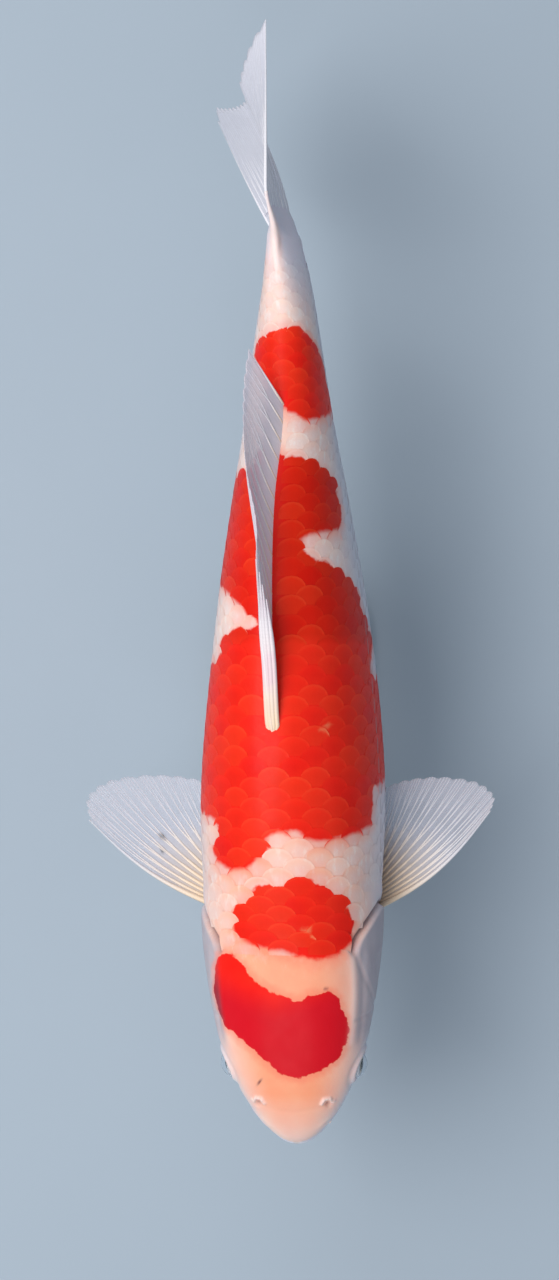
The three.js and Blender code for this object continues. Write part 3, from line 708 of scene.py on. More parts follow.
# %% Mouth
above_mouth = Z + 7.6 + 0.31 * S
mouth_fade = 1 - smoothstep(S, 15, 21)
stroke -= 1.7 * bell(above_mouth, 0.75) * mouth_fade
stroke += 1.25 * bell(above_mouth - 2.6, 1.6) * mouth_fade + 1.05 * bell(above_mouth + 2.4, 1.7) * mouth_fade
lip_crease = above_mouth - 6.4 + 0.10 * S
stroke -= 1.15 * bell(lip_crease, 0.8) * (1 - smoothstep(S, 13, 20))
chin_crease = above_mouth + 6.2 - 0.08 * S
stroke -= 0.7 * bell(chin_crease, 0.9) * (1 - smoothstep(S, 10, 18))
corner = np.hypot(S - 20.5, Z + 14) + FAR * (SIDE < 10)
stroke -= 1.1 * bell(corner, 2.2)
upper_jaw, jaw_part = from_line([(12.5, 6), (17.5, 1), (22.5, -6), (25.5, -14), (25, -20)])
stroke -= 0.65 * bell(upper_jaw, 0.8) * np.sin(math.pi * np.clip(jaw_part, 0.03, 0.97)) ** 0.5 * (SIDE > 8)
stroke += 0.35 * bell(upper_jaw - 2.4, 1.5) * (SIDE > 8)
under_eye, _ = from_line([(34, -6), (41, -9.5), (49, -9), (56, -3)])
stroke -= 0.4 * bell(under_eye, 1.3) * (SIDE > 15)
print("with the lips, the highest stroke is", round(float(stroke.max()), 1), "mm")

# %% Nostrils
# a shallow crease over the snout, between the nostrils
stroke -= 0.14 * bell(S - 19.5 - 0.012 * X**2, 1.0) * (Z > 0) * (SIDE < 19)

# the pit, and the flap as a line through points given by how far across and behind the snout
from_pit = np.hypot(S - NOSTRIL["s"], SIDE - NOSTRIL["side"]) + FAR * (Z < 4)
FLAP = [(15.2, 24.2), (16.6, 26.8), (19.4, 27.2), (20.6, 25.0), (21.6, 25.4)]
flap_far = np.minimum(from_line(FLAP, SIDE, S)[0] + FAR * (Z < 2), FAR)
frill = 1 + 0.45 * np.sin(1.9 * S + 1.3 * SIDE) * np.sin(1.1 * S - 1.7 * SIDE)
stroke -= 1.7 * bell(from_pit, 1.3)
stroke += 1.1 * frill * bell(flap_far, 0.7)
print("deepest stroke", round(float(stroke.min()), 1), "highest", round(float(stroke.max()), 1))

# %% [markdown]
# ### Gill covers
#
# A gill cover is a bony plate, joined to the head in front and open along its rear edge, where
# the water leaves. It stands a little proud, and a real slit runs behind that edge. It could be a
# mesh of its own, but then a seam would show in front, where the living fish has none.

# %% Gill covers
outline = closed_spline(COVER, 12)
side_view = np.stack([S.ravel(), Z.ravel()], -1)
near = (S.ravel() > 60) & (S.ravel() < 142) & (SIDE.ravel() > 8)
into_cover = np.full(S.size, -30.0)
into_cover[near] = edge_distance(outline, side_view[near])[0]
into_cover = into_cover.reshape(S.shape)
rear_edge = smoothstep(S, 103, 109)
flare = smoothstep(S, 84, 124) * smoothstep(into_cover, -0.4, 1.6)
slit = 2.6 * bell(into_cover + 1.7, 1.5) * rear_edge
fold = 0.45 * bell(into_cover, 1.6) * (1 - rear_edge)
stroke += flare - slit - fold
stroke -= 0.5 * bell(into_cover + 4.5, 2.6) * rear_edge

# the front plate of the cover, and rays fanning over the plate
plate_line, _ = from_line([(70, 30), (74, 10), (78, -14), (74, -34), (60, -42)])
stroke -= 0.42 * bell(plate_line, 1.3) * (SIDE > 14)
fan = np.arctan2(Z - 14, S - 74)
stroke += 0.09 * np.cos(26 * fan) * smoothstep(into_cover, 1.5, 8) * smoothstep(S, 84, 96)
print("gill slit", round(float(slit.max()), 1), "mm deep")

# %% [markdown]
# ### Cheek, throat and fin roots
#
# A low ridge parts the flat top of the head from the cheek. Under the head the gill covers'
# edges meet in two grooves. Where a fin comes out, the flesh swells to meet it: a fin stuck into
# a smooth body would look like a toy's.

# %% Cheek, throat and fin roots
# the ridge between the top of the head and the cheek
ridge_line, ridge_part = from_line([(58, 28), (74, 33), (90, 37), (107, 41)])
stroke += 0.55 * bell(ridge_line, 2.2) * np.sin(math.pi * np.clip(ridge_part, 0.05, 1)) ** 0.5
under_ridge, _ = from_line([(60, 22), (76, 27), (92, 31), (104, 34)])
stroke -= 0.6 * bell(under_ridge, 2.4)

# throat: two grooves where the gill covers' edges meet, and the joint of the lower jaw
groove_at = 2.5 + 0.26 * (S - 34)
throat = smoothstep(S, 30, 42) * (1 - smoothstep(S, 92, 108)) * smoothstep(-Z, 18, 30)
stroke -= 1.1 * bell(SIDE - groove_at, 1.3) * throat
jaw_line, _ = from_line([(20.5, -14), (28, -20), (34, -28)])
stroke -= 0.6 * bell(jaw_line, 1.2)

# the roots of the paired fins are fleshy, and the vent is a small pit
pectoral_root, _ = from_line([(126, -24), (146, -37)])
stroke += 1.3 * bell(pectoral_root, 6.0) * (SIDE > 20)
pelvic_root = np.hypot(S - 238, 1.3 * (SIDE - 16)) + FAR * (Z > 0)
stroke += 1.1 * bell(pelvic_root, 8.0)
stroke -= 1.6 * bell(np.hypot((S - 352) * 0.6, X) + FAR * (Z > 0), 1.8)

# the tail's top ridge, which runs on as the tail fin's leading ray
from_ridge = np.minimum(np.abs(SKIN_ARC), half_girth(S) - np.abs(SKIN_ARC))
stroke += 0.9 * bell(SKIN_ARC, 1.9) * smoothstep(S, 458, 482)
stroke += 1.1 * bell(from_ridge, 2.2) * bell(S - 480, 5)
skin_points = posed(form + normals * stroke[..., None])
print("skin from", skin_points.min((0, 1)).round(1), "to", skin_points.max((0, 1)).round(1))

# %% [markdown]
# ### What the colours depend on
#
# The skin of a koi is warm on the back, milky near the tail fin, and deeper red in some patches
# than in others, and low on the flanks it carries a cool painted shade with a bluish painted
# reflection. Each of these is a mask: a number from 0 to 1 at each point, worked out from its
# place on the unrolled body. Only the red stays a distance to the patch's edge, in millimetres,
# because the edge is frayed and blurred later. Skin and scales use one function, so a scale and
# the skin beside it can't disagree.

# %% Masks for any place on the body
PALE_SPOTS = [                        # round the body, behind the snout, half sizes, strength
    (12.5, 120.5, 5.0, 2.3, 1.0), (17, 117, 2.8, 1.8, 0.9),
    (30, 224.5, 4.6, 2.0, 0.75), (26, 222.5, 2.2, 1.7, 0.6),
]
WARMTH = np.array([(0, 0), (12, 0.55), (30, 1), (115, 0.9), (170, 0.7), (260, 0.2), (400, 0.2), (470, 0.3)])


def colour_masks(arc, s):
    """Everything the colours depend on, by place on the unrolled body."""
    places = np.stack([arc, s], -1)
    red, front, is_head = red_distance(places)
    on_ridge = bell(arc, 3.0) * (1 - smoothstep(s, 480, 500))
    finny = smoothstep(s + np.clip(1.1 * arc, -12, 14), 440, 486) * (1 - 0.8 * on_ridge)
    spot = sum(strength * (1 - smoothstep(np.hypot((arc - x) / long, (s - at) / thin), 0.4, 1.3))
               for x, at, long, thin, strength in PALE_SPOTS)
    low = np.abs(arc) / np.maximum(half_girth(s), 1)
    warm = (1 - smoothstep(low, 0.10, 0.42)) * np.interp(s, WARMTH[:, 0], WARMTH[:, 1])
    deep = smoothstep(s, 267, 270) * (1 - smoothstep(s, 372, 380)) * lerp(0.7, 1, smoothstep(arc, 2, 10))
    crimson = is_head * smoothstep(-(s - 84 - 0.35 * np.abs(arc + 6)), -6, 16)
    return {"red": red, "front": np.clip(front, 0, 1) * (1 - is_head), "warm": warm, "deep": deep,
            "crimson": crimson, "low": low, "spot": spot, "finny": finny}


print("masks:", list(colour_masks(np.array([0.0]), np.array([200.0]))))

# %% [markdown]
# ### Marks that only the skin has
#
# Bare skin shows things that scales hide: the lilac of the gill covers, where the gills shine
# through thin bone, pale flaps and ridges, a painted highlight along one cheek's ridge, and painted
# shade in slits and pits.

# %% Masks of the skin alone
skin_masks = colour_masks(SKIN_ARC.ravel(), S.ravel())
ridge_level = np.interp(S, [46, 58, 74, 90, 107, 120], [24, 28, 33, 37, 41, 38])
cheek = smoothstep(S, 48, 66) * (1 - smoothstep(S, 108, 118)) * smoothstep(ridge_level - Z, -1.5, 4)
plate = smoothstep(into_cover, -0.5, 2.5)
flank_only = smoothstep(Z, -52, -26)
skin_masks["lilac"] = (np.maximum(0.85 * cheek, plate) * flank_only).ravel()

# pale: the nostrils' flaps, a painted highlight along the left cheek's ridge, and the tail's top ridge
flap = bell(flap_far, 1.0) * np.clip(frill, 0, 1)
left_ridge_highlight = smoothstep(X, -5, 5) * bell(ridge_line, 1.6)
tail_ridge = bell(SKIN_ARC + 0.3, 2.6) * smoothstep(S, 450, 470)
skin_masks["pale"] = np.clip(0.75 * flap + 0.45 * left_ridge_highlight + 0.85 * tail_ridge, 0, 1).ravel()

# dark: painted shade in the gill slits, the nostrils' pits and the line of the mouth, and two real dark
# specks
pit = bell(from_pit, 1.1) + 1.2 * bell(above_mouth, 0.55) * mouth_fade
speck = bell(np.hypot((SKIN_ARC + 16.8 - 0.7 * (S - 36.3)) / 0.8, (S - 36.3) / 2.0), 0.85) * 1.1
speck += bell(np.hypot(SKIN_ARC - 21, S - 88), 0.8)
gill = bell(into_cover + 1.7, 1.5) * rear_edge
skin_masks["dark"] = np.clip(0.75 * gill + 0.5 * pit + speck, 0, 1).ravel()
print("red covers", round(100 * float((skin_masks["red"] > 0).mean())), "% of the skin's points")

# %% [markdown]
# ### The skin as one mesh
#
# The rings are joined by quads, and a fan of triangles closes each end, so the mesh has no hole.
# Every mask is stored on its points, and so is each point's place on the unrolled body, called
# lie: noise read there keeps its size on scales and skin alike.

# %% Build the skin mesh
rows, columns = S.shape
front_tip = posed(np.array([[0.0, 0.0, -4.0]]))
rear_tip = skin_points[-1].mean(0, keepdims=True)
all_points = np.concatenate([skin_points.reshape(-1, 3), front_tip, rear_tip])
skin_faces = grid_faces(rows, columns, closed=True) + end_fans(rows, columns)
skin = new_mesh_object("koi_skin", all_points, skin_faces)
for name, values in skin_masks.items():
    store(skin, name, np.concatenate([values, values[:1], values[-1:]]))
lie = np.stack([SKIN_ARC.ravel(), S.ravel(), np.zeros(S.size)], -1) * MM
store(skin, "lie", np.concatenate([lie, [[0, 0, 0]], lie[-1:]]), "FLOAT_VECTOR")
print("skin has", count_triangles(skin), "triangles")

# %% [markdown]
# ### The skin's place on a texture sheet
#
# A flat map named OFBake says where each bit of skin lies on the texture sheet.
# It is the unrolled body: across is the distance round the body, and up is the distance along
# it, measured on the surface so the blunt snout isn't squeezed. Smart UV Project would cut the
# skin into islands, and the scales would find no place of their own between them.

# %% Flat map of the skin
profile_step = np.hypot(np.diff(MAP_S), np.diff(section(np.minimum(MAP_S, BODY_LENGTH), HALF_WIDTH)))
PROFILE = np.concatenate([[0], np.cumsum(profile_step)])
SHEET = 560.0                         # mm of body that the sheet's side stands for


def sheet_place(arc, s):
    return np.stack([0.5 + arc / SHEET, 0.03 + np.interp(s, MAP_S, PROFILE) / SHEET], -1)


skin_sheet = sheet_place(SKIN_ARC.ravel(), S.ravel())
skin_sheet = np.concatenate([skin_sheet, [[0.5, 0.029]], [[0.5, skin_sheet[:, 1].max() + 0.001]]])
uv = skin_sheet[corner_points(skin)]
for start, total in face_spans(skin):
    patch = uv[start:start + total]
    if np.ptp(patch[:, 0]) > 0.2:                        # a face over the belly's seam
        patch[:, 0] = np.where(patch[:, 0] < 0.5, 1 - patch[:, 0], patch[:, 0])
write_map(skin, "OFBake", uv)
print("sheet from", uv.min(0).round(2), "to", uv.max(0).round(2))

# %% [markdown]
# ## Colours of a koi
#
# One node group gives the colour of skin and scales alike, so the markings run on from one to
# the other. It takes the distance to a patch's edge, frays it with fine noise and turns it into
# red or white. Edges that face the snout are blurred, because there white scales lie over red
# ones; the other edges are crisp. The white is warm on the back and pearly on the flanks, and
# low on the flanks a cool, darker painted shade with a bluish painted reflection lies over it.

# %% A patch's edge
KOI_MASKS = ("Red", "Front", "Warm", "Deep", "Crimson", "Low", "Lilac", "Spot", "Finny")
group_inputs = {name: (FLOAT, 0) for name in KOI_MASKS}
group_inputs.update({"Red": (FLOAT, -10), "Place": (VECTOR, None), "Fray": (FLOAT, 0.8)})
group_outputs = {"Colour": COLOUR, "Red Mask": FLOAT}
koi_colour, taken, given = new_group("koi_colour", group_inputs, group_outputs)
tree = koi_colour
ragged = maths(tree, "SUBTRACT", noise(tree, taken["Place"], 420, 4), 0.5)
lobed = maths(tree, "SUBTRACT", noise(tree, taken["Place"], 150, 1), 0.5)
frayed = maths(tree, "ADD", maths(tree, "MULTIPLY", ragged, 2.6), maths(tree, "MULTIPLY", lobed, 4.0))
edge = maths(tree, "ADD", taken["Red"], maths(tree, "MULTIPLY", frayed, taken["Fray"]))
blur = maths(tree, "MULTIPLY_ADD", taken["Front"], 1.3, 0.45)
mask = ramp_between(tree, maths(tree, "DIVIDE", edge, blur), -1.0, 1.0)
flush = ramp_between(tree, maths(tree, "DIVIDE", edge, maths(tree, "ADD", blur, 1.2)), -3.2, 0.0)
print("the group takes", len(group_inputs), "values")

# %% The white ground
patchy = noise(tree, taken["Place"], 55, 3)
pearl = mix_colour(tree, patchy, (0.90, 0.60, 0.54, 1), (0.96, 0.80, 0.72, 1))
# painted shade: low on the flanks the white turns darker and bluish, a painted shade with a painted blue
# reflection
painted_flank_shade = mix_colour(tree, ramp_between(tree, taken["Low"], 0.24, 0.50), pearl, (0.72, 0.71, 0.80, 1))
belly = mix_colour(tree, ramp_between(tree, taken["Low"], 0.58, 0.85), painted_flank_shade, (0.87, 0.80, 0.75, 1))
peach = mix_colour(tree, patchy, (0.95, 0.31, 0.17, 1), (0.96, 0.44, 0.26, 1))
white = mix_colour(tree, taken["Warm"], belly, peach)
lilac = mix_colour(tree, patchy, (0.42, 0.38, 0.43, 1), (0.55, 0.50, 0.54, 1))
white = mix_colour(tree, taken["Lilac"], white, lilac)
print("white ground done,", len(tree.nodes), "nodes so far")

# %% [markdown]
# ### Painted glints and flush
#
# Painted glints: pearly white flecks over the white of the flanks stand in for light glinting off
# the shiny skin under the scales. In front of a patch the red shines faintly through the white,
# which is called a flush here. Both are thin layers mixed over the white, so each can be changed
# without the other.

# %% Painted glints, and the flush in front of the red
# painted highlights: streaky white flecks stand in for light glinting off the shiny skin
drawn_out = stretched(tree, taken["Place"], (1.0, 0.45, 1.0))
painted_glint = ramp_between(tree, noise(tree, drawn_out, 240, 4), 0.50, 0.70, 0.0, 0.6)
behind_head = add_node(tree, "ShaderNodeSeparateXYZ", {0: taken["Place"]}).outputs["Y"]
painted_glint = maths(tree, "MULTIPLY", painted_glint, ramp_between(tree, behind_head, 0.092, 0.112))
painted_glint = maths(tree, "MULTIPLY", painted_glint, ramp_between(tree, taken["Low"], 0.45, 0.25))
quiet = maths(tree, "ADD", maths(tree, "MULTIPLY", taken["Warm"], 0.72), taken["Lilac"])
painted_glint = maths(tree, "MULTIPLY", painted_glint, maths(tree, "SUBTRACT", 1.0, quiet, clamp=True))
white = mix_colour(tree, painted_glint, white, (0.97, 0.93, 0.90, 1))
white = mix_colour(tree, maths(tree, "MULTIPLY", flush, 0.5), white, (0.93, 0.20, 0.12, 1))
print("glints done,", len(tree.nodes), "nodes so far")

# %% [markdown]
# ### The red
#
# The red isn't one paint: it is bright behind the head, deeper on the rear half of the back, and
# crimson on the head itself. Three reds with a blotchy noise each are mixed by the masks, and
# then the patch's edge decides between red and white.

# %% The red, and the group's result
blotch = noise(tree, taken["Place"], 42, 4)
bright = mix_colour(tree, blotch, (0.82, 0.003, 0.004, 1), (0.96, 0.024, 0.008, 1))
dark_red = mix_colour(tree, blotch, (0.55, 0.002, 0.001, 1), (0.82, 0.012, 0.002, 1))
head_red = mix_colour(tree, blotch, (0.60, 0.004, 0.012, 1), (0.71, 0.008, 0.020, 1))
head_red = mix_colour(tree, taken["Lilac"], head_red, (0.30, 0.012, 0.030, 1))
red = mix_colour(tree, taken["Deep"], bright, dark_red)
red = mix_colour(tree, taken["Crimson"], red, head_red)
patched = mix_colour(tree, mask, white, red)
patched = mix_colour(tree, taken["Finny"], patched, (0.72, 0.69, 0.78, 1))
roughened = maths(tree, "ADD", taken["Spot"], maths(tree, "MULTIPLY", ragged, 0.5))
torn = ramp_between(tree, roughened, 0.2, 1.0, 0.0, 0.85)
fill(tree, given, {"Colour": mix_colour(tree, torn, patched, (0.88, 0.24, 0.11, 1)), "Red Mask": mask})
print("koi colour group has", len(koi_colour.nodes), "nodes")

# %% [markdown]
# ### The skin's material
#
# Wet skin is soft inside and glossy outside. Some subsurface scattering lets light into the
# flesh, a clear coat gives the water's sheen, and fine bumps of pores break the gloss.


# %% Skin material
def koi_inputs(tree):
    """Reads from the mesh what the colour group takes; a missing mask reads as zero."""
    found = {name: attribute(tree, name.lower()) for name in KOI_MASKS}
    found["Place"] = attribute(tree, "lie", "Vector")
    return found


skin_mat, tree, shader = new_material("koi_skin")
inputs = koi_inputs(tree)
colour = place_group(tree, koi_colour, {**inputs, "Fray": 1.0})
pores = noise(tree, inputs["Place"], 900, 2)
swell = noise(tree, inputs["Place"], 120, 3)
relief = maths(tree, "ADD", maths(tree, "MULTIPLY", pores, 0.3), swell)
bump = add_node(tree, "ShaderNodeBump", {"Strength": 0.22, "Distance": 0.0006, "Height": relief})
# the pale mask brings in a painted highlight along the left cheek's ridge
pale = mix_colour(tree, attribute(tree, "pale"), colour["Colour"], (0.95, 0.80, 0.78, 1))
# painted shade: darker in the gill slits, the nostrils' pits and the mouth line; the two specks are real
# marks
shaded = mix_colour(tree, attribute(tree, "dark"), pale, (0.14, 0.055, 0.065, 1))
fill(tree, shader.inputs, {
    "Base Color": shaded,
    "Normal": bump.outputs[0],
    "Roughness": ramp_between(tree, swell, 0.3, 0.7, 0.38, 0.52),
    "Subsurface Weight": 0.12,
    "Subsurface Radius": (0.004, 0.0015, 0.001),
    "Subsurface Scale": 1.0,
    "Specular IOR Level": 0.11,
    "Coat Weight": 0.04,
    "Coat Roughness": 0.2,
})
skin.data.materials.append(skin_mat)
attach(skin, "root")
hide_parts("head", "lower_jaw", "gill_cover_left", "gill_cover_right", "trunk", "tail_stalk")

# %% [markdown]
# ## Scales
#
# A koi has rows of scales that overlap like roof tiles, each row shifted by half a scale. One
# scale is a thin plate of a few dozen faces: its rear edge is round and stands a little proud,
# its front end dips under the skin. A thousand copies are laid on the flat, unrolled map, and
# then Geometry Nodes wraps them onto the body: each point of a scale looks up the body's
# surface at its own place on the map and moves there. That way every scale bends with the body.

# %% One scale
SCALE_COLUMNS = np.sin(np.radians(np.linspace(-90, 90, 9)))
SCALE_ROWS = np.array([-1.0, -0.35, 0.3, 0.75, 1.0])
LENGTH_FRONT, LENGTH_REAR, SCALE_HALF = 0.84, 0.68, 0.78       # of the spacing along and across


def scale_plan(column, row):
    """Outline of a scale in units of the spacing: narrow in front, a broad round edge behind."""
    if row < 0:
        return column * SCALE_HALF * (1 + 0.12 * row), row * LENGTH_FRONT
    return column * SCALE_HALF, row * (1 - abs(column) ** 2.1) ** (1 / 2.1) * LENGTH_REAR


def scale_height(column, row):
    """Height of the plate's upper face over the skin, in mm."""
    dip = 0.9 * max(-0.35 - row, 0)                       # the front end goes under the skin
    return -0.05 + 0.16 * (row + 1) - 0.03 * column * column * (row + 1) - dip


# the upper face is a grid; the underside is its border once more, drawn in a little and lower
top, flat = [], []
for row in SCALE_ROWS:
    for column in SCALE_COLUMNS:
        x, y = scale_plan(column, row)
        top.append((x, y, scale_height(column, row)))
        flat.append((column, row))
top = np.array(top)
count = len(top)
width = len(SCALE_COLUMNS)
border = list(range(width)) + [k * width + width - 1 for k in range(1, len(SCALE_ROWS))]
border += [count - 1 - k for k in range(1, width)] + [k * width for k in range(len(SCALE_ROWS) - 2, 0, -1)]
under = top[border] * np.array([0.985, 0.985, 1]) - np.array([0, 0, 0.07])
points = np.concatenate([top, under])
faces = grid_faces(len(SCALE_ROWS), width)
ring = len(border)
faces += [[border[k], count + k, count + (k + 1) % ring, border[(k + 1) % ring]] for k in range(ring)]
faces += [[count + k for k in range(ring)][::-1]]
one_scale = new_mesh_object("one_scale", points / MM, faces)
crisp = one_scale.data.attributes.new("sharp_edge", "BOOLEAN", "EDGE")
on_border = [{border[k], border[(k + 1) % ring]} for k in range(ring)]
for edge in one_scale.data.edges:
    crisp.data[edge.index].value = set(edge.vertices) in on_border
flat = np.array(flat)
local = np.concatenate([flat, flat[border]])
store(one_scale, "on_scale", np.c_[local, np.r_[np.zeros(count), np.ones(ring)]], "FLOAT_VECTOR")
print("one scale has", len(faces), "faces")

# %% [markdown]
# ### Where the scales sit
#
# The rows are counted outwards from the middle of the back. Their spacing shrinks towards the
# tail, and where the body tapers the lowest rows run out along the belly. Scales are left out on
# the midline under the dorsal fin, where the fin's base comes through.

# %% The lattice of scales
ALONG_PITCH = np.array([(110, 8.6), (140, 9.8), (180, 10.6), (260, 10.4), (340, 9.4), (420, 8.2), (500, 6.8)])
ROW_PITCH = np.array([(110, 10.2), (150, 11.0), (220, 11.2), (300, 10.2), (380, 8.8), (450, 7.6), (500, 7.0)])
SCALES_TO = 464.0
FIN_BASE = (214, 394)                 # the stretch of the midline that the dorsal fin's base takes
ROWS_A_SIDE = 16


def pitch_along(s):
    return np.interp(s, ALONG_PITCH[:, 0], ALONG_PITCH[:, 1])


def pitch_round(s):
    return np.interp(s, ROW_PITCH[:, 0], ROW_PITCH[:, 1])


half_steps = [100.0]
while half_steps[-1] < SCALES_TO:
    half_steps.append(half_steps[-1] + pitch_along(half_steps[-1]) / 2)
lattice = []
for k, at in enumerate(half_steps):
    for row in range(-ROWS_A_SIDE, ROWS_A_SIDE + 1):
        if (k + row) % 2:                                 # every other row is half a scale further back
            continue
        arc = row * float(pitch_round(at))
        if abs(arc) > float(half_girth(np.array([at]))[0]) + 0.3 * float(pitch_round(at)):
            continue
        on_fin_base = row == 0 and FIN_BASE[0] < at < FIN_BASE[1]
        if at < scales_from(arc) or on_fin_base:
            continue
        lattice.append((arc, at, row))
lattice = np.array(lattice)
print(len(lattice), "scales in", len(half_steps), "half steps")

# %% [markdown]
# ### Wrapping them on
#
# The flat points carry each scale's size as an attribute. In the node tree the plate is copied
# to every point, made real, and wrapped: Sample UV Surface reads the position and the normal of
# the body at a place on its flat map. The body it reads is a plain grid without the head's
# features, which goes a little past the belly's midline so that no scale falls off its edge.

# %% Body map for wrapping
wrap_s = np.linspace(84, 505, 270)
wrap_angle = np.radians(np.linspace(-246, 246, 247))
WS, WA = np.meshgrid(wrap_s, wrap_angle, indexing="ij")
wrap_points = posed(body_point(WS, WA, -COAT))
body_map = new_mesh_object("body_map", wrap_points.reshape(-1, 3), grid_faces(*WS.shape))
wrap_arc = arc_of(WS.ravel(), WA.ravel())
flat_map = np.stack([0.5 + wrap_arc / SHEET, WS.ravel() / SHEET], -1)
write_map(body_map, "unrolled", flat_map[corner_points(body_map)])
on_back = 100 * WS.shape[1] + WS.shape[1] // 2            # the middle point of ring 100
if body_map.data.vertex_normals[on_back].vector.z < 0:
    body_map.data.flip_normals()
print("the body map's normals point up by", round(body_map.data.vertex_normals[on_back].vector.z, 2))

# %% [markdown]
# ### Trees of nodes that make shapes
#
# Geometry Nodes is Blender's way to make shapes from a tree of steps. A modifier on an object runs
# the tree, and named attributes carry each point's own values into it. The result is turned into
# a plain mesh, because other programs can't read the tree. A particle system could also scatter
# scales, but it can't bend each one to the body.

# %% Geometry Nodes helpers
def geo_tree(name, inputs):
    """A Geometry Nodes tree with named inputs; returns it with its input and output nodes."""
    tree = bpy.data.node_groups.new(name, "GeometryNodeTree")
    tree.interface.new_socket("Geometry", in_out="INPUT", socket_type="NodeSocketGeometry")
    for label, (kind, value) in inputs.items():
        socket = tree.interface.new_socket(label, in_out="INPUT", socket_type=kind)
        if value is not None:
            socket.default_value = value
    tree.interface.new_socket("Geometry", in_out="OUTPUT", socket_type="NodeSocketGeometry")
    return tree, tree.nodes.new("NodeGroupInput").outputs, tree.nodes.new("NodeGroupOutput").inputs


def run_tree(source, tree, values, name):
    """Evaluates the tree on the source object and returns the result as a plain mesh object."""
    modifier = source.modifiers.new("nodes", "NODES")
    modifier.node_group = tree
    for item in tree.interface.items_tree:
        if item.item_type == "SOCKET" and item.in_out == "INPUT" and item.name in values:
            modifier[item.identifier] = values[item.name]
    source.update_tag()
    bpy.context.view_layer.update()
    evaluated = source.evaluated_get(bpy.context.evaluated_depsgraph_get())
    mesh = bpy.data.meshes.new_from_object(evaluated)
    mesh.name = name
    made = bpy.data.objects.new(name, mesh)
    bpy.context.scene.collection.objects.link(made)
    source.modifiers.remove(modifier)
    return made


def read_named(tree, name, kind="FLOAT"):
    found = tree.nodes.new("GeometryNodeInputNamedAttribute")
    found.data_type = kind
    found.inputs["Name"].default_value = name
    return found.outputs["Attribute"]


print("geometry helpers ready")

# %% [markdown]
# ### The tree for the scales
#
# Copies are placed on the flat points, each turned and resized by a hair so that the lattice isn't
# perfect, and then made real, because an instance can be moved but not bent. A point's X and Y say
# where on the body's flat map it is. Its Z is its height over the skin, along the body's normal.

# %% Tree that lays and wraps the scales
wrap_tree, taken, given = geo_tree("lay_scales", {
    "Scale Shape": ("NodeSocketObject", None), "Body Map": ("NodeSocketObject", None),
    "Turn": (FLOAT, 0.03), "Uneven": (FLOAT, 0.04), "Seed": ("NodeSocketInt", 7),
    "Sheet": (FLOAT, 0.56), "Material": ("NodeSocketMaterial", None),
})
tree = wrap_tree
shape = add_node(tree, "GeometryNodeObjectInfo", {"Object": taken["Scale Shape"]})
body = add_node(tree, "GeometryNodeObjectInfo", {"Object": taken["Body Map"]})

# copies, each a little uneven; sockets 2 and 3 of Random Value are its least and its most
least = maths(tree, "SUBTRACT", 1.0, taken["Uneven"])
most = maths(tree, "ADD", 1.0, taken["Uneven"])
uneven = add_node(tree, "FunctionNodeRandomValue", {2: least, 3: most, "Seed": taken["Seed"]})
full_size = read_named(tree, "size", "FLOAT_VECTOR")
size = add_node(tree, "ShaderNodeVectorMath", {0: full_size, "Scale": uneven.outputs[1]}, operation="SCALE")
other_way = maths(tree, "MULTIPLY", taken["Turn"], -1.0)
spin = add_node(tree, "FunctionNodeRandomValue", {2: other_way, 3: taken["Turn"], "Seed": taken["Seed"]})
turned = add_node(tree, "ShaderNodeCombineXYZ", {"Z": spin.outputs[1]})
copies = add_node(tree, "GeometryNodeInstanceOnPoints", {
    "Points": taken["Geometry"], "Instance": shape.outputs["Geometry"],
    "Rotation": turned.outputs[0], "Scale": size.outputs[0],
})
real = add_node(tree, "GeometryNodeRealizeInstances", {"Geometry": copies.outputs[0]})

# the place of each point on the body's flat map
flat_place = tree.nodes.new("GeometryNodeInputPosition").outputs[0]
where = add_node(tree, "ShaderNodeSeparateXYZ", {0: flat_place})
map_x = maths(tree, "ADD", maths(tree, "DIVIDE", where.outputs["X"], taken["Sheet"]), 0.5)
map_y = maths(tree, "DIVIDE", where.outputs["Y"], taken["Sheet"])
map_place = add_node(tree, "ShaderNodeCombineXYZ", {"X": map_x, "Y": map_y}).outputs[0]

# the body's surface there, and the point moved to it
surface = {}
for what, source_kind in (("place", "GeometryNodeInputPosition"), ("normal", "GeometryNodeInputNormal")):
    wanted = {
        "Mesh": body.outputs["Geometry"],
        "Value": tree.nodes.new(source_kind).outputs[0],
        "UV Map": read_named(tree, "unrolled", "FLOAT_VECTOR"),
        "Sample UV": map_place,
    }
    sample = add_node(tree, "GeometryNodeSampleUVSurface", wanted, data_type="FLOAT_VECTOR")
    surface[what] = sample.outputs[0]
lift = {0: surface["normal"], "Scale": where.outputs["Z"]}
lifted = add_node(tree, "ShaderNodeVectorMath", lift, operation="SCALE").outputs[0]
wrapped = add_node(tree, "ShaderNodeVectorMath", {0: surface["place"], 1: lifted}, operation="ADD").outputs[0]
laid = add_node(tree, "GeometryNodeSetPosition", {"Geometry": real.outputs[0], "Position": wrapped})
dress = {"Geometry": laid.outputs[0], "Material": taken["Material"]}
dressed = add_node(tree, "GeometryNodeSetMaterial", dress)
tree.links.new(dressed.outputs[0], given["Geometry"])
print("wrap tree has", len(wrap_tree.nodes), "nodes")

# %% [markdown]
# ### The look of a scale
#
# Each scale is a little lighter at its rear edge, partly its own paler margin and partly a painted
# highlight where the raised edge would catch the light, and a little deeper in the middle, and no
# two are quite alike. The colour of a whole scale follows the patch at its middle, so a patch's rear
# edge steps from scale to scale, as on a living koi. The scales along the flank's middle carry a
# small dark canal, with which the fish feels the water move. Fine growth rings are bump only.

# %% Scale material
scale_mat, tree, shader = new_material("koi_scales")
inputs = koi_inputs(tree)
colour = place_group(tree, koi_colour, {**inputs, "Fray": 0.45})
on_scale = attribute(tree, "on_scale", "Vector")
spot = add_node(tree, "ShaderNodeSeparateXYZ", {0: on_scale})
across_scale = maths(tree, "ABSOLUTE", spot.outputs["X"])
from_root = spot.outputs["Y"]
tone = attribute(tree, "tone")

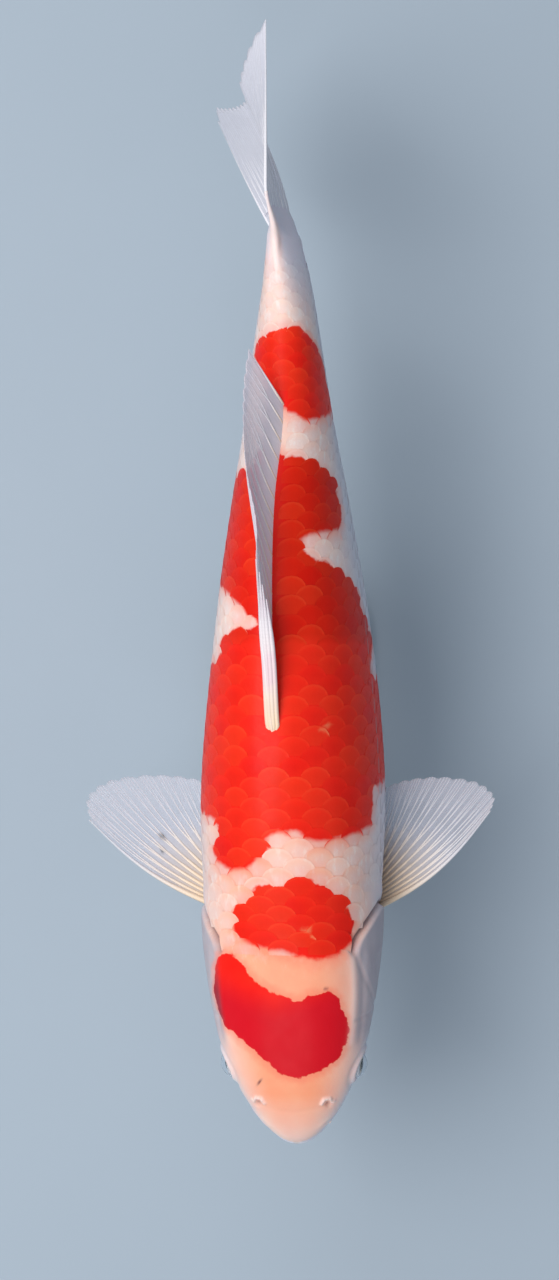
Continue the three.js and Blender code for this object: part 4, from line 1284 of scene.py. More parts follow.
# how strongly the rim, the heart and the canal show
curved = maths(tree, "ADD", from_root, maths(tree, "MULTIPLY", across_scale, 0.22))
# the lighter rim is partly the scale's own paler margin and partly a painted highlight on its raised rear
# edge
rim_highlight_strength = ramp_between(tree, tone, 0.1, 0.9, 0.03, 0.13)
rim = maths(tree, "MULTIPLY", ramp_between(tree, curved, 0.74, 1.02), rim_highlight_strength)
centre = maths(tree, "SUBTRACT", 1.0, maths(tree, "MULTIPLY", across_scale, 0.9), clamp=True)
rising = ramp_between(tree, from_root, -0.7, -0.15)
falling = ramp_between(tree, from_root, 0.85, 0.15)
heart = maths(tree, "MULTIPLY", maths(tree, "MULTIPLY", rising, falling), centre)
groove = ramp_between(tree, across_scale, 0.16, 0.05)
canal = maths(tree, "MULTIPLY", groove, ramp_between(tree, from_root, 0.85, 0.5))
canal = maths(tree, "MULTIPLY", attribute(tree, "lateral"), canal)


def on_white_and_red(on_white, on_red):
    return mix_colour(tree, colour["Red Mask"], on_white, on_red)


rim_highlight_colour = on_white_and_red((0.97, 0.93, 0.92, 1), (0.97, 0.15, 0.05, 1))
heart_colour = on_white_and_red((0.66, 0.58, 0.64, 1), (0.52, 0.004, 0.002, 1))
tone_colour = on_white_and_red((0.98, 0.93, 0.90, 1), (0.96, 0.10, 0.02, 1))
lighter = mix_colour(tree, rim, colour["Colour"], rim_highlight_colour)
deeper = mix_colour(tree, maths(tree, "MULTIPLY", heart, 0.28), lighter, heart_colour)
varied = mix_colour(tree, maths(tree, "MULTIPLY", tone, 0.19), deeper, tone_colour)
marked = mix_colour(tree, maths(tree, "MULTIPLY", canal, 0.45), varied, (0.38, 0.30, 0.30, 1))

# growth rings, fine noise, and the shader
from_middle = add_node(tree, "ShaderNodeVectorMath", {0: on_scale}, operation="LENGTH").outputs["Value"]
rings = maths(tree, "SINE", maths(tree, "MULTIPLY", from_middle, 70.0))
fine = noise(tree, inputs["Place"], 700, 2)
relief = maths(tree, "ADD", maths(tree, "MULTIPLY", rings, 0.10), fine)
bump = add_node(tree, "ShaderNodeBump", {"Strength": 0.16, "Distance": 0.0004, "Height": relief})
fill(tree, shader.inputs, {
    "Base Color": marked,
    "Normal": bump.outputs[0],
    "Roughness": ramp_between(tree, fine, 0.3, 0.7, 0.36, 0.50),
    "Subsurface Weight": 0.08,
    "Subsurface Radius": (0.003, 0.001, 0.0008),
    "Subsurface Scale": 1.0,
    "Specular IOR Level": 0.11,
    "Coat Weight": 0.05,
    "Coat Roughness": 0.2,
})
print("scale material has", len(tree.nodes), "nodes")

# %% [markdown]
# ### Running the tree
#
# A mesh of loose points is the tree's start: one point for each scale, with its size, its root on
# the unrolled body, the red at its middle, and a tone that makes no two scales alike. The tones
# come from a random generator with a fixed seed, so every run gives the same fish.

# %% Lay the scales
rng = np.random.default_rng(11)
flat_points = np.c_[lattice[:, :2], np.zeros(len(lattice))]
seeds = new_mesh_object("scale_seeds", flat_points, [])
sizes = np.c_[pitch_round(lattice[:, 1]), pitch_along(lattice[:, 1]), np.ones(len(lattice))] * MM
store(seeds, "size", sizes, "FLOAT_VECTOR")
seed_masks = colour_masks(lattice[:, 0], lattice[:, 1] + 0.25 * pitch_along(lattice[:, 1]))
store(seeds, "root", np.c_[lattice[:, :2], np.arange(len(lattice))], "FLOAT_VECTOR")
store(seeds, "centre_red", seed_masks["red"])
store(seeds, "centre_front", seed_masks["front"])
store(seeds, "tone", rng.random(len(lattice)))
LATERAL_ROW, LATERAL_FROM = 7, 136    # the row that carries the canal, and where it begins
has_canal = (np.abs(lattice[:, 2]) == LATERAL_ROW) & (lattice[:, 1] > LATERAL_FROM)
store(seeds, "lateral", has_canal)
lay_values = {"Scale Shape": one_scale, "Body Map": body_map, "Sheet": SHEET * MM, "Material": scale_mat}
scales = run_tree(seeds, wrap_tree, lay_values, "koi_scales")
scales.data.shade_smooth()
print("scales:", len(lattice), "with", count_triangles(scales), "triangles")

# %% [markdown]
# ### Masks and texture places of the scales
#
# Each point of each scale now asks the same masks as the skin, at its own place on the unrolled
# body, and a share of the red comes from the scale's middle. On the texture sheet every scale has
# a patch of its own at its root's place, a little smaller than the spacing so that neighbours
# don't overlap.

# %% Colour and flat map of the scales
def get_layer(made, name, kind="value"):
    """Reads a stored attribute back: plain values, or vectors with kind "vector"."""
    data = made.data.attributes[name].data
    values = np.empty(len(data) * (1 if kind == "value" else 3), np.float32)
    data.foreach_get(kind, values)
    return values if kind == "value" else values.reshape(-1, 3)


root = get_layer(scales, "root", "vector").astype(float)
local = get_layer(scales, "on_scale", "vector").astype(float)
reach_along = np.where(local[:, 1] < 0, LENGTH_FRONT, LENGTH_REAR)
spot_s = root[:, 1] + local[:, 1] * reach_along * pitch_along(root[:, 1])
spot_arc = root[:, 0] + local[:, 0] * SCALE_HALF * pitch_round(root[:, 1])
masks = colour_masks(spot_arc, spot_s)
centre_front = get_layer(scales, "centre_front")
by_scale = lerp(0.5, 0.2, smoothstep(root[:, 1], 375, 385)) * (1 - centre_front.astype(float))
masks["front"] = centre_front
masks["red"] = lerp(masks["red"], get_layer(scales, "centre_red").astype(float), by_scale)
for name, values in masks.items():
    store(scales, name, values)
store(scales, "lie", np.stack([spot_arc, spot_s, np.zeros(len(root))], -1) * MM, "FLOAT_VECTOR")

# each scale's patch on the sheet: its upper face, its rim round it, and its underside beside it
corners = corner_points(scales)
is_under = local[:, 2] > 0.5
cell = np.stack([pitch_round(root[:, 1]), pitch_along(root[:, 1])], -1) / SHEET
middle = sheet_place(root[:, 0], root[:, 1])
upper = middle + local[:, :2] * np.array([0.36, 0.28]) * cell * np.where(is_under, 1.12, 1.0)[:, None]
lower = middle + (local[:, :2] * np.array([0.36, 0.05]) + np.array([0, 0.43])) * cell
sheet_uv = upper[corners]
for start, total in face_spans(scales):
    if total > 4:                                         # only the underside has so many corners
        sheet_uv[start:start + total] = lower[corners[start:start + total]]
write_map(scales, "OFBake", sheet_uv)
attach(scales, "root")
for helper in (one_scale, body_map, seeds):
    bpy.data.objects.remove(helper)
print("scale sheet from", sheet_uv.min(0).round(2), "to", sheet_uv.max(0).round(2))

# %% [markdown]
# ## Eyes
#
# A carp's eye is a ball with a flat iris sunk behind a clear, bulging cornea. The ball is turned
# on a lathe about the line of sight: the profile dips in at the iris. The cornea is a thin
# closed shell of clear material over it. The look lies in the layers: black pupil, thin pale
# gold ring, silver iris with dusky streaks.


# %% Eye shapes
def lathe(profile, centre, axis, sides=56):
    """Turns a profile of (distance along the axis, radius) round the axis; both ends are on the axis."""
    axis = np.array(axis, float) / np.linalg.norm(axis)
    across = np.cross(axis, [0, 0, 1.0])
    across /= np.linalg.norm(across)
    up = np.cross(across, axis)
    angle = np.linspace(0, 2 * math.pi, sides, endpoint=False)
    rim = np.cos(angle)[:, None] * across + np.sin(angle)[:, None] * up
    body = [np.array(centre) + h * axis + r * rim for h, r in profile[1:-1]]
    ends = [np.array(centre) + profile[k][0] * axis for k in (0, -1)]
    points = np.concatenate([np.concatenate(body), ends])
    rings = len(profile) - 2
    faces = grid_faces(rings, sides, closed=True) + end_fans(rings, sides)
    radius = np.concatenate([np.repeat([r for _, r in profile[1:-1]], sides), [0, 0]])
    turn = np.concatenate([np.tile(angle, rings), [0, 0]])
    height = np.repeat([h for h, _ in profile[1:-1]], sides)
    height = np.concatenate([height, [profile[0][0], profile[-1][0]]])
    return points, faces, radius, turn, height


def face_out(made):
    """Makes a closed mesh's faces point outwards."""
    shell = bmesh.new()
    shell.from_mesh(made.data)
    bmesh.ops.recalc_face_normals(shell, faces=shell.faces)
    shell.to_mesh(made.data)
    shell.free()


BALL, CORNEA_OUT, CORNEA_IN = 7.75, 8.3, 8.02             # radii
ball_profile = []
for p in np.radians(np.linspace(0, 180, 60)):
    h = BALL * math.cos(p)
    r = BALL * math.sin(p)
    iris_level = 5.15 + 0.55 * math.exp(-(r / 2.7) ** 4)
    if h > iris_level:
        h = iris_level + 0.10 * (h - iris_level)
    ball_profile.append((h, r if 0 < p < math.pi else 0))
cap = np.radians(np.linspace(0, 66, 22))
cornea_profile = [(CORNEA_OUT * math.cos(p), CORNEA_OUT * math.sin(p)) for p in cap]
cornea_profile += [(CORNEA_IN * math.cos(p), CORNEA_IN * math.sin(p)) for p in cap[::-1]]
print("eyeball profile of", len(ball_profile), "points")

# %% [markdown]
# ### The eye's materials
#
# The iris is painted by the distance from the line of sight, stored on the mesh. The cornea is
# clear and wet. It bends the light less than a real cornea does, because here there is no water
# behind it. A ball with a painted highlight would look flat as soon as the view turned.

# %% Eye materials
iris_mat, tree, shader = new_material("koi_iris")
from_axis = attribute(tree, "from_axis")
round_it = maths(tree, "MULTIPLY", attribute(tree, "turn"), 4.0)
outwards = maths(tree, "MULTIPLY", from_axis, 0.7)
streak = add_node(tree, "ShaderNodeCombineXYZ", {"X": round_it, "Y": outwards})
streaks = noise(tree, streak.outputs[0], 1.6, 4)
silver = mix_colour(tree, streaks, (0.42, 0.40, 0.40, 1), (0.88, 0.86, 0.82, 1))
dusky = mix_colour(tree, ramp_between(tree, from_axis, 5.0, 6.2), silver, (0.80, 0.79, 0.82, 1))
ringed = mix_colour(tree, ramp_between(tree, from_axis, 4.0, 3.6), dusky, (0.80, 0.58, 0.28, 1))
pupil = mix_colour(tree, ramp_between(tree, from_axis, 3.55, 3.35), ringed, (0.003, 0.003, 0.004, 1))
fill(tree, shader.inputs, {
    "Base Color": pupil,
    "Roughness": ramp_between(tree, from_axis, 3.3, 3.7, 0.08, 0.35),
    "Metallic": ramp_between(tree, from_axis, 3.5, 3.9, 0.0, 0.35),
})

cornea_mat, tree, shader = new_material("koi_cornea")
film = noise(tree, object_place(tree), 300, 2)
fill(tree, shader.inputs, {
    "Base Color": (0.96, 0.98, 1.0, 1),
    "Transmission Weight": 1.0,
    "IOR": 1.15,
    "Roughness": ramp_between(tree, film, 0.3, 0.7, 0.01, 0.05),
})
print("iris and cornea mixed")

# %% [markdown]
# ### Both eyes in their sockets
#
# A carp's eyes look outwards, a little forwards and a little up. A carp can turn each eye, but
# here both rest in the middle.

# %% Place the eyes
for name, side in (("left", 1), ("right", -1)):
    centre = (side * EYE["side"], EYE["s"], EYE["z"])
    gaze = (side * 0.98, -0.13, 0.13)
    points, faces, radius, turn, height = lathe(ball_profile, centre, gaze)
    ball = new_mesh_object("eyeball_" + name, posed(points), faces)
    face_out(ball)
    store(ball, "from_axis", np.where(height > 0, radius, 8))
    store(ball, "turn", turn)
    ball.data.materials.append(iris_mat)
    points, faces, *_ = lathe(cornea_profile, centre, gaze)
    cornea = new_mesh_object("cornea_" + name, posed(points), faces)
    face_out(cornea)
    cornea.data.materials.append(cornea_mat)
    for piece in (ball, cornea):
        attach(piece, "root")
    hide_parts("eye_" + name)
print("two eyes of", 2 * CORNEA_OUT, "mm")

# %% [markdown]
# ## Fins
#
# A fin is a fan of bony rays joined by a thin membrane. Each ray forks once or twice on its way
# out. The rays are drawn as lines on the fin's surface, each with its own thickness, and one
# node tree turns all such lines into round tapering strands. The membrane is a thin closed
# sheet, solid at the root and see-through at the edge. The same tree later makes the feelers.

# %% Tree that turns lines into tapering strands
strand_tree, taken, given = geo_tree("tapering_strands", {
    "Thickness": (FLOAT, 1.0), "Sides": ("NodeSocketInt", 6), "Material": ("NodeSocketMaterial", None),
})
tree = strand_tree
lines = add_node(tree, "GeometryNodeMeshToCurve", {"Mesh": taken["Geometry"]})
girth = maths(tree, "MULTIPLY", read_named(tree, "thick"), taken["Thickness"])
sized = add_node(tree, "GeometryNodeSetCurveRadius", {"Curve": lines.outputs[0], "Radius": girth})
circle = add_node(tree, "GeometryNodeCurvePrimitiveCircle", {"Resolution": taken["Sides"], "Radius": 1.0})
tube = add_node(tree, "GeometryNodeCurveToMesh", {
    "Curve": sized.outputs[0], "Profile Curve": circle.outputs[0], "Scale": girth, "Fill Caps": True,
})
soft = add_node(tree, "GeometryNodeSetShadeSmooth", {"Geometry": tube.outputs[0]})
plain = add_node(tree, "GeometryNodeRealizeInstances", {"Geometry": soft.outputs[0]})
dress = {"Geometry": plain.outputs[0], "Material": taken["Material"]}
dressed = add_node(tree, "GeometryNodeSetMaterial", dress)
tree.links.new(dressed.outputs[0], given["Geometry"])
print("strand tree inputs:", [item.name for item in strand_tree.interface.items_tree])

# %% [markdown]
# ### Surfaces of the other fins
#
# Each fin is one function of u across the rays and v along them. The dorsal fin is half folded
# and leans over the back; the broad pectoral fins are spread; the pelvic and anal fins hang
# below and aren't seen from above.


# %% Dorsal and anal fin
def point_of(*parts):
    """Puts three arrays together as points."""
    return np.stack(np.broadcast_arrays(*parts), -1)


def dorsal_fin(u, v):
    s = lerp(220, 391, u)
    ease = u**0.8
    length = lerp(92, 37, ease) * scallop(u, 17, 0.03) * v
    lift = np.radians(lerp(20, 35, ease) - 9 * v)
    lean = np.radians(lerp(2, 30, smoothstep(u, 0.15, 0.95)))
    return point_of(-np.cos(lift) * np.sin(lean) * length, s + np.cos(lift) * np.cos(lean) * length,
                    back_at(s) - 2 + np.sin(lift) * length)


def anal_fin(u, v):
    s = lerp(360, 397, u)
    length = lerp(62, 27, u**0.75) * scallop(u, 7, 0.04) * v
    sweep = np.radians(lerp(46, 62, u))
    return point_of(0 * u, s + np.sin(sweep) * length, belly_at(s) + 2 - np.cos(sweep) * length)


dorsal_top = dorsal_fin(np.linspace(0, 1, 50), np.ones(50))[:, 2].max()
print("the dorsal fin reaches", round(float(dorsal_top), 1), "mm over the axis")

# %% [markdown]
# ### The paired fins
#
# These come in pairs. A function that makes a function keeps left and right alike, apart from the
# few numbers in which the pose differs. A mirrored copy would be simpler, but both sides would
# then hold the same pose, which no swimming fish does.

# %% Pelvic and pectoral fins
def pelvic_fin(side, spread):
    def surface(u, v):
        x, s = lerp(17, 12, u), lerp(232, 247, u)
        length = lerp(62, 38, u**1.3) * scallop(u, 9, 0.04) * v
        splay = np.radians(lerp(spread, -3, u))
        drop = np.radians(lerp(26, 50, u) - 6 * v)
        return point_of(side * (x + np.cos(drop) * np.sin(splay) * length),
                        s + np.cos(drop) * np.cos(splay) * length,
                        belly_at(s) + 2 + 6 * (x / 20) ** 2 - np.sin(drop) * length)
    return surface


# how far out, and how far behind the snout
PECTORAL_EDGE = np.array([(110, 179), (112, 187), (101, 194), (79, 196), (58, 193.5), (44, 188), (36, 182)])


def pectoral_fin(side, reach, rise, ahead, tip_ahead, bow):
    """The edge runs from the tip, round behind, to the body."""
    front, rear = np.array([37, 124 - ahead, -22.0]), np.array([37, 147, -38.0])

    def surface(u, v):
        base = front + (rear - front) * u[..., None]
        place = u * (len(PECTORAL_EDGE) - 1)
        k = np.minimum(place.astype(int), len(PECTORAL_EDGE) - 2)
        t = (place - k)[..., None]
        near = [PECTORAL_EDGE[np.clip(k + j, 0, len(PECTORAL_EDGE) - 1)] for j in (-1, 0, 1, 2)]
        edge = between(*near, t)
        full = scallop(u, 15, 0.018) * v
        x = lerp(base[..., 0], edge[..., 0], full)
        s = lerp(base[..., 1], edge[..., 1], full)
        s = s - tip_ahead * (1 - u) ** 4 * v**1.5
        bowed = bow * np.sin(math.pi * v) * (1 - u) ** 2
        out = (x - base[..., 0]) * reach + bowed * 0.55
        height = base[..., 2] + rise * out / 75 - 4 * v * v * np.sin(math.pi * u) + 14 * u * v
        return point_of(side * (base[..., 0] + out), s - bowed, height)
    return surface


FINS = {                     # surface, rays, half thickness of a ray at root and edge, forks, leading ray
    "dorsal": (dorsal_fin, 17, 0.85, 0.26, 1, 1.5),
    "anal": (anal_fin, 7, 0.95, 0.25, 2, 1.4),
    "tail": (tail_fin, 17, 0.75, 0.22, 2, 1.8),
    "pelvic_left": (pelvic_fin(1, 8), 9, 1.0, 0.25, 2, 1.4),
    "pelvic_right": (pelvic_fin(-1, 13), 9, 1.0, 0.25, 2, 1.4),
    "pectoral_left": (pectoral_fin(1, 0.94, 30, 2, 0, 6.0), 15, 1.2, 0.30, 2, 1.6),
    "pectoral_right": (pectoral_fin(-1, 1.06, 10, 2.6, 8, 6.0), 15, 1.2, 0.30, 2, 1.6),
}
print("fins:", list(FINS))

# %% [markdown]
# ### Lines of the rays
#
# A carp's fin ray forks like a twig, only always in the plane of the fin. So a ray is a line in
# the fin's own u and v, and each fork starts two more lines where it ends. The first and the last
# ray are thicker and don't fork. Painting the rays on the membrane would be cheaper, but would
# leave it flat.

# %% Lines of the rays
def ray_lines(rays, forks, root, edge, leading, grown=0.12):
    """Lines in (u, v) with thickness: a ray swells until v is `grown`, then forks into thinner ones."""
    lines = []
    spacing = 1 / rays
    fork_at = [0.36, 0.66][:forks]
    for k in range(rays + 1):
        first = k == 0
        straight = first or k == rays
        starts = [(k * spacing, 0.0, 0)]
        while starts:
            u0, v0, level = starts.pop()
            v1 = 1.0 if straight or level >= forks else fork_at[level] + 0.03 * math.sin(2.4 * k + level)
            v = np.linspace(v0, v1, max(4, int(26 * (v1 - v0)) + 1))
            spread = spacing * (0.20 / 2 ** max(level - 1, 0)) if level else 0.0
            for sign in ((0,) if level == 0 else (-1, 1)):
                u = u0 + sign * spread * smoothstep(v, v0, v0 + 0.30)
                thick = lerp(root, edge, np.minimum(1, v * 1.1) ** 0.8) * (0.80 ** level)
                thick = thick * lerp(0.06, 1, smoothstep(v, 0, grown))
                if straight:
                    thick = thick * (leading if first else 0.8 * leading)
                lines.append((np.clip(u, 0, 1), v, thick))
                if v1 < 1:
                    starts.append((float(u[-1]), v1, level + 1))
    return lines


trial = ray_lines(15, 2, 1.2, 0.3, 1.6)
print("a pectoral fin has", len(trial), "strands")

# %% [markdown]
# ### Materials of a fin
#
# Rays are creamy white and a little waxy. The membrane is whitish and see-through: its alpha
# falls from the fleshy root to the edge, with fine streaks along the rays. Under strong light a
# see-through membrane still shows its colour, so a little of it stays everywhere.

# %% Ray material
ray_mat, tree, shader = new_material("fin_ray")
reach = attribute(tree, "reach")
joints = maths(tree, "SINE", maths(tree, "MULTIPLY", attribute(tree, "length"), 3.6))
bare = maths(tree, "ADD", maths(tree, "SUBTRACT", 1.0, attribute(tree, "cream")), reach)
cream = mix_colour(tree, ramp_between(tree, bare, 0.10, 0.75), (0.88, 0.68, 0.47, 1), (0.90, 0.90, 0.95, 1))
banded = mix_colour(tree, ramp_between(tree, joints, 0.75, 1.0, 0.0, 0.16), cream, (0.60, 0.55, 0.56, 1))
banded = mix_colour(tree, attribute(tree, "speck"), banded, (0.07, 0.05, 0.05, 1))
cloudy = ramp_between(tree, noise(tree, object_place(tree), 60, 2), 0.3, 0.7, 0.15, 0.6)
stained = maths(tree, "MULTIPLY", cloudy, attribute(tree, "blush"))
banded = mix_colour(tree, stained, banded, (0.74, 0.52, 0.64, 1))
fill(tree, shader.inputs, {
    "Base Color": banded,
    "Roughness": ramp_between(tree, joints, -1, 1, 0.34, 0.5),
    "Alpha": ramp_between(tree, reach, 0.25, 1.0, 1.0, 0.34),
    "Coat Weight": 0.1,
    "Coat Roughness": 0.2,
})
print("ray material has", len(tree.nodes), "nodes")

# %% [markdown]
# ### The membrane between the rays
#
# The membrane is thin skin, so it gets its own alpha, tint and streaks. Real transmission would
# need light to bend through a sheet half a millimetre thin; alpha is enough and renders faster.

# %% Membrane material
membrane_mat, tree, shader = new_material("fin_membrane")
reach = attribute(tree, "reach")
fan = attribute(tree, "fan")
beside = maths(tree, "MULTIPLY", fan, 60.0)
outwards = maths(tree, "MULTIPLY", reach, 1.5)
streak = add_node(tree, "ShaderNodeCombineXYZ", {"X": beside, "Y": outwards})
streaks = noise(tree, streak.outputs[0], 2.2, 3)
bare = maths(tree, "ADD", maths(tree, "SUBTRACT", 1.0, attribute(tree, "cream")), reach)
tint = mix_colour(tree, ramp_between(tree, bare, 0.12, 0.65), (0.60, 0.47, 0.35, 1), (0.55, 0.57, 0.68, 1))
milky = mix_colour(tree, maths(tree, "MULTIPLY", streaks, 0.25), tint, (0.92, 0.90, 0.93, 1))
milky = mix_colour(tree, maths(tree, "MULTIPLY", attribute(tree, "blush"), 0.6), milky, (0.97, 0.70, 0.80, 1))
milky = mix_colour(tree, maths(tree, "MULTIPLY", attribute(tree, "veil"), 1.3), milky, (0.90, 0.88, 0.95, 1))
milky = mix_colour(tree, attribute(tree, "speck"), milky, (0.07, 0.05, 0.05, 1))
solid = ramp_between(tree, reach, 0.08, 0.72, 0.95, 0.17)
veil = maths(tree, "MULTIPLY", attribute(tree, "veil"), maths(tree, "SUBTRACT", 1.0, solid))
solid = maths(tree, "ADD", solid, veil)
streaky = maths(tree, "MULTIPLY", maths(tree, "SUBTRACT", streaks, 0.5), 0.30)
fill(tree, shader.inputs, {
    "Base Color": milky,
    "Alpha": maths(tree, "ADD", solid, streaky, clamp=True),
    "Roughness": ramp_between(tree, streaks, 0.3, 0.7, 0.35, 0.5),
    "Coat Weight": 0.08,
    "Coat Roughness": 0.2,
})
print("membrane material has", len(tree.nodes), "nodes")

# %% [markdown]
# ### What differs from fin to fin
#
# The pectoral fins are cream at the root, the dorsal fin is stained pink, and the tail fin is
# veiled. These are numbers stored on the meshes, so two materials do for seven fins. Two
# dark specks on one fin are stored the same way: koi do carry such single specks.

# %% Looks of the fins
FIN_LOOK = {                          # cream, veil, blush
    "pectoral": (1.0, 0.10, 0.0),
    "tail": (0.25, 0.55, 0.0),
    "dorsal": (0.8, 0.5, 1.0),
}
OTHER_LOOK = (0.6, 0.25, 0.0)
SPECKS = [(-71, 162.1), (-71, 154.6)]              # two dark specks on the right pectoral fin


def speck_mask(points):
    x, behind = np.asarray(points, float)[:, :2].T
    behind = behind + SNOUT_AHEAD
    return sum(bell(np.hypot(1.2 * (x - at_x), behind - at), 1.3) for at_x, at in SPECKS)


def fin_look(name):
    """Looks up the fin of a piece such as rays_tail or membrane_pectoral_left."""
    return FIN_LOOK.get(name.split("_")[1], OTHER_LOOK)


print("the tail fin's look:", fin_look("rays_tail"))

# %% [markdown]
# ### The membrane
#
# The membrane is a closed sheet: a front, a back, and a rim that joins them. It is thicker at the
# root, where flesh reaches into it. A single open sheet would be lighter, but it would have no
# thickness where the light falls on its edge.

# %% One membrane
PER_RAY, ALONG = 6, 44                # quads from ray to ray, and points along a ray
STREAK_RAYS = 15                      # the number of rays that the streaks' size was chosen for


def membrane_mesh(name, surface, rays):
    """A thin closed sheet between the rays, a little thinner than they are."""
    across, along = rays * PER_RAY + 1, ALONG
    U, V = np.meshgrid(np.linspace(0, 1, across), np.linspace(0, 1, along), indexing="ij")
    step = 2e-3
    side = surface(np.minimum(U + step, 1), V) - surface(np.maximum(U - step, 0), V)
    out = surface(U, np.minimum(V + step, 1)) - surface(U, np.maximum(V - step, 0))
    normal = np.cross(side, out)
    normal /= np.maximum(np.linalg.norm(normal, axis=2, keepdims=True), 1e-9)
    half = (0.10 + 0.45 * (1 - smoothstep(V, 0, 0.35)))[..., None]
    middle = surface(U, V)
    front, back = posed(middle + normal * half), posed(middle - normal * half)
    points = np.concatenate([front.reshape(-1, 3), back.reshape(-1, 3)])
    total = across * along
    front_faces = grid_faces(across, along)
    back_faces = [[a + total, d + total, c + total, b + total] for a, b, c, d in front_faces]
    edge = [k * along for k in range(across)] + [(across - 1) * along + j for j in range(1, along)]
    edge += [(across - 1 - k) * along + along - 1 for k in range(1, across)] + list(range(along - 2, 0, -1))
    rim_faces = [[a, b, b + total, a + total] for a, b in zip(edge, edge[1:] + edge[:1])]
    made = new_mesh_object(name, points, front_faces + back_faces + rim_faces)
    face_out(made)
    store(made, "reach", np.tile(V.ravel(), 2))
    store(made, "fan", np.tile(U.ravel() * rays / STREAK_RAYS, 2))
    store(made, "speck", speck_mask(points))
    for label, value in zip(("cream", "veil", "blush"), fin_look(name)):
        store(made, label, np.full(len(points), value))
    return made


print("a pectoral membrane is", 15 * PER_RAY, "quads wide and", ALONG - 1, "long")

# %% [markdown]
# ### The rays
#
# A line's bent shape comes from the fin's surface, and its thickness goes along as an attribute.
# All rays of one fin are one mesh, so that they stay one piece with one material.

# %% The rays of one fin
# how far out a ray has its full thickness, as a share of its length
GROWN = {"rays_tail": 0.30, "rays_dorsal": 0.04}
GROWN_ELSEWHERE = 0.12


def ray_mesh(name, surface, rays, root, edge, forks, leading):
    """All the rays of one fin as round strands."""
    places, links, thick, reach, length = [], [], [], [], []
    grown = GROWN.get(name, GROWN_ELSEWHERE)
    for u, v, girth in ray_lines(rays, forks, root, edge, leading, grown):
        line = posed(surface(u, v))
        first = len(places)
        places.extend(line.tolist())
        links.extend((first + k, first + k + 1) for k in range(len(line) - 1))
        thick.extend(girth * MM)
        reach.extend(v)
        run = np.concatenate([[0], np.cumsum(np.linalg.norm(np.diff(line, axis=0), axis=1))])
        length.extend(run)
    lines = new_mesh_object(name + "_lines", places, [], links)
    values = {"thick": thick, "reach": reach, "length": length, "speck": speck_mask(places)}
    cream, _, blush = fin_look(name)
    values.update(cream=np.full(len(places), cream), blush=np.full(len(places), 0.25 * blush))
    for label, listed in values.items():
        store(lines, label, listed)
    made = run_tree(lines, strand_tree, {"Thickness": 1.0, "Sides": 6, "Material": ray_mat}, name)
    bpy.data.objects.remove(lines)
    return made


print("rays are full grown at", GROWN, "and elsewhere at", GROWN_ELSEWHERE)

# %% [markdown]
# ### The folded front rays of the dorsal fin
#
# The first rays of a carp's dorsal fin are hard. When the fin is half folded they lie side by
# side in a bundle along its front and part from one another at their tips. They are drawn one by
# one, because the fan of the other rays has no room for them.

# %% Folded front rays
# mm beside the middle of the back, and share of the fin's length
FOLDED = ((-2.5, 1.0), (-0.85, 0.93), (0.85, 0.86), (2.5, 0.78))


def spine_lines():
    """Each strand's points, how far out they are, their half thickness, and their length so far."""
    lines = []
    for beside, end in FOLDED:
        v = np.linspace(0, end, 40)
        line = dorsal_fin(np.zeros(40), v)
        line[:, 0] += beside * smoothstep(v, 0.0, 0.06) * (1 - 0.5 * smoothstep(v, 0.5, 1))
        line[:, 0] += 0.3 + 2.0 * smoothstep(v, 0.0, 0.5) - 0.6 * smoothstep(v, 0.6, 1)
        line[:, 2] -= 0.25 * abs(beside)
        thick = 1.3 * lerp(0.3, 1, smoothstep(v, 0, 0.06)) * (1 - 0.75 * smoothstep(v, 0.55, end))
        lines.append((line, v, thick, v * 90))
    return lines


print("folded rays:", len(spine_lines()))

# %% [markdown]
# ### All seven fins
#
# Every fin is a membrane and its rays, which ride on the fish and take the place of the plain
# solid fin.

# %% Build the fins
fin_total = 0
for name, (surface, rays, root_half, edge_half, forks, leading) in FINS.items():
    membrane = membrane_mesh("membrane_" + name, surface, rays)
    membrane.data.materials.append(membrane_mat)
    strands = ray_mesh("rays_" + name, surface, rays, root_half, edge_half, forks, leading)
    for piece in (membrane, strands):
        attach(piece, "root")
        fin_total += count_triangles(piece)
    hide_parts("fin_" + ("caudal" if name == "tail" else name))
print("fins have", fin_total, "triangles")

# %% Build the folded front rays
places, links = [], []
layers = {"thick": [], "reach": [], "length": [], "speck": [], "blush": [], "cream": []}
for line, v, thick, length in spine_lines():
    links += [(len(places) + k, len(places) + k + 1) for k in range(len(line) - 1)]
    places.extend(posed(line).tolist())
    layers["thick"].extend(thick * MM)
    layers["reach"].extend(0.8 * v)
    layers["length"].extend(length)
    layers["speck"].extend(np.zeros(len(v)))
    layers["blush"].extend(smoothstep(v, 0.08, 0.3))
    layers["cream"].extend(np.full(len(v), 0.85))
bundle_lines = new_mesh_object("spine_lines", places, [], links)
for label, listed in layers.items():
    store(bundle_lines, label, listed)
bundle_values = {"Thickness": 1.0, "Sides": 10, "Material": ray_mat}
spines = run_tree(bundle_lines, strand_tree, bundle_values, "spines_dorsal")
bpy.data.objects.remove(bundle_lines)
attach(spines, "root")
print("the folded front rays have", count_triangles(spines), "triangles")

# %% [markdown]
# ## Feelers
#
# Two pairs of feelers, called barbels, hang from the upper lip and the corners of the mouth.
# They are strands as the fin rays are, only fleshier, so the same node tree makes them.

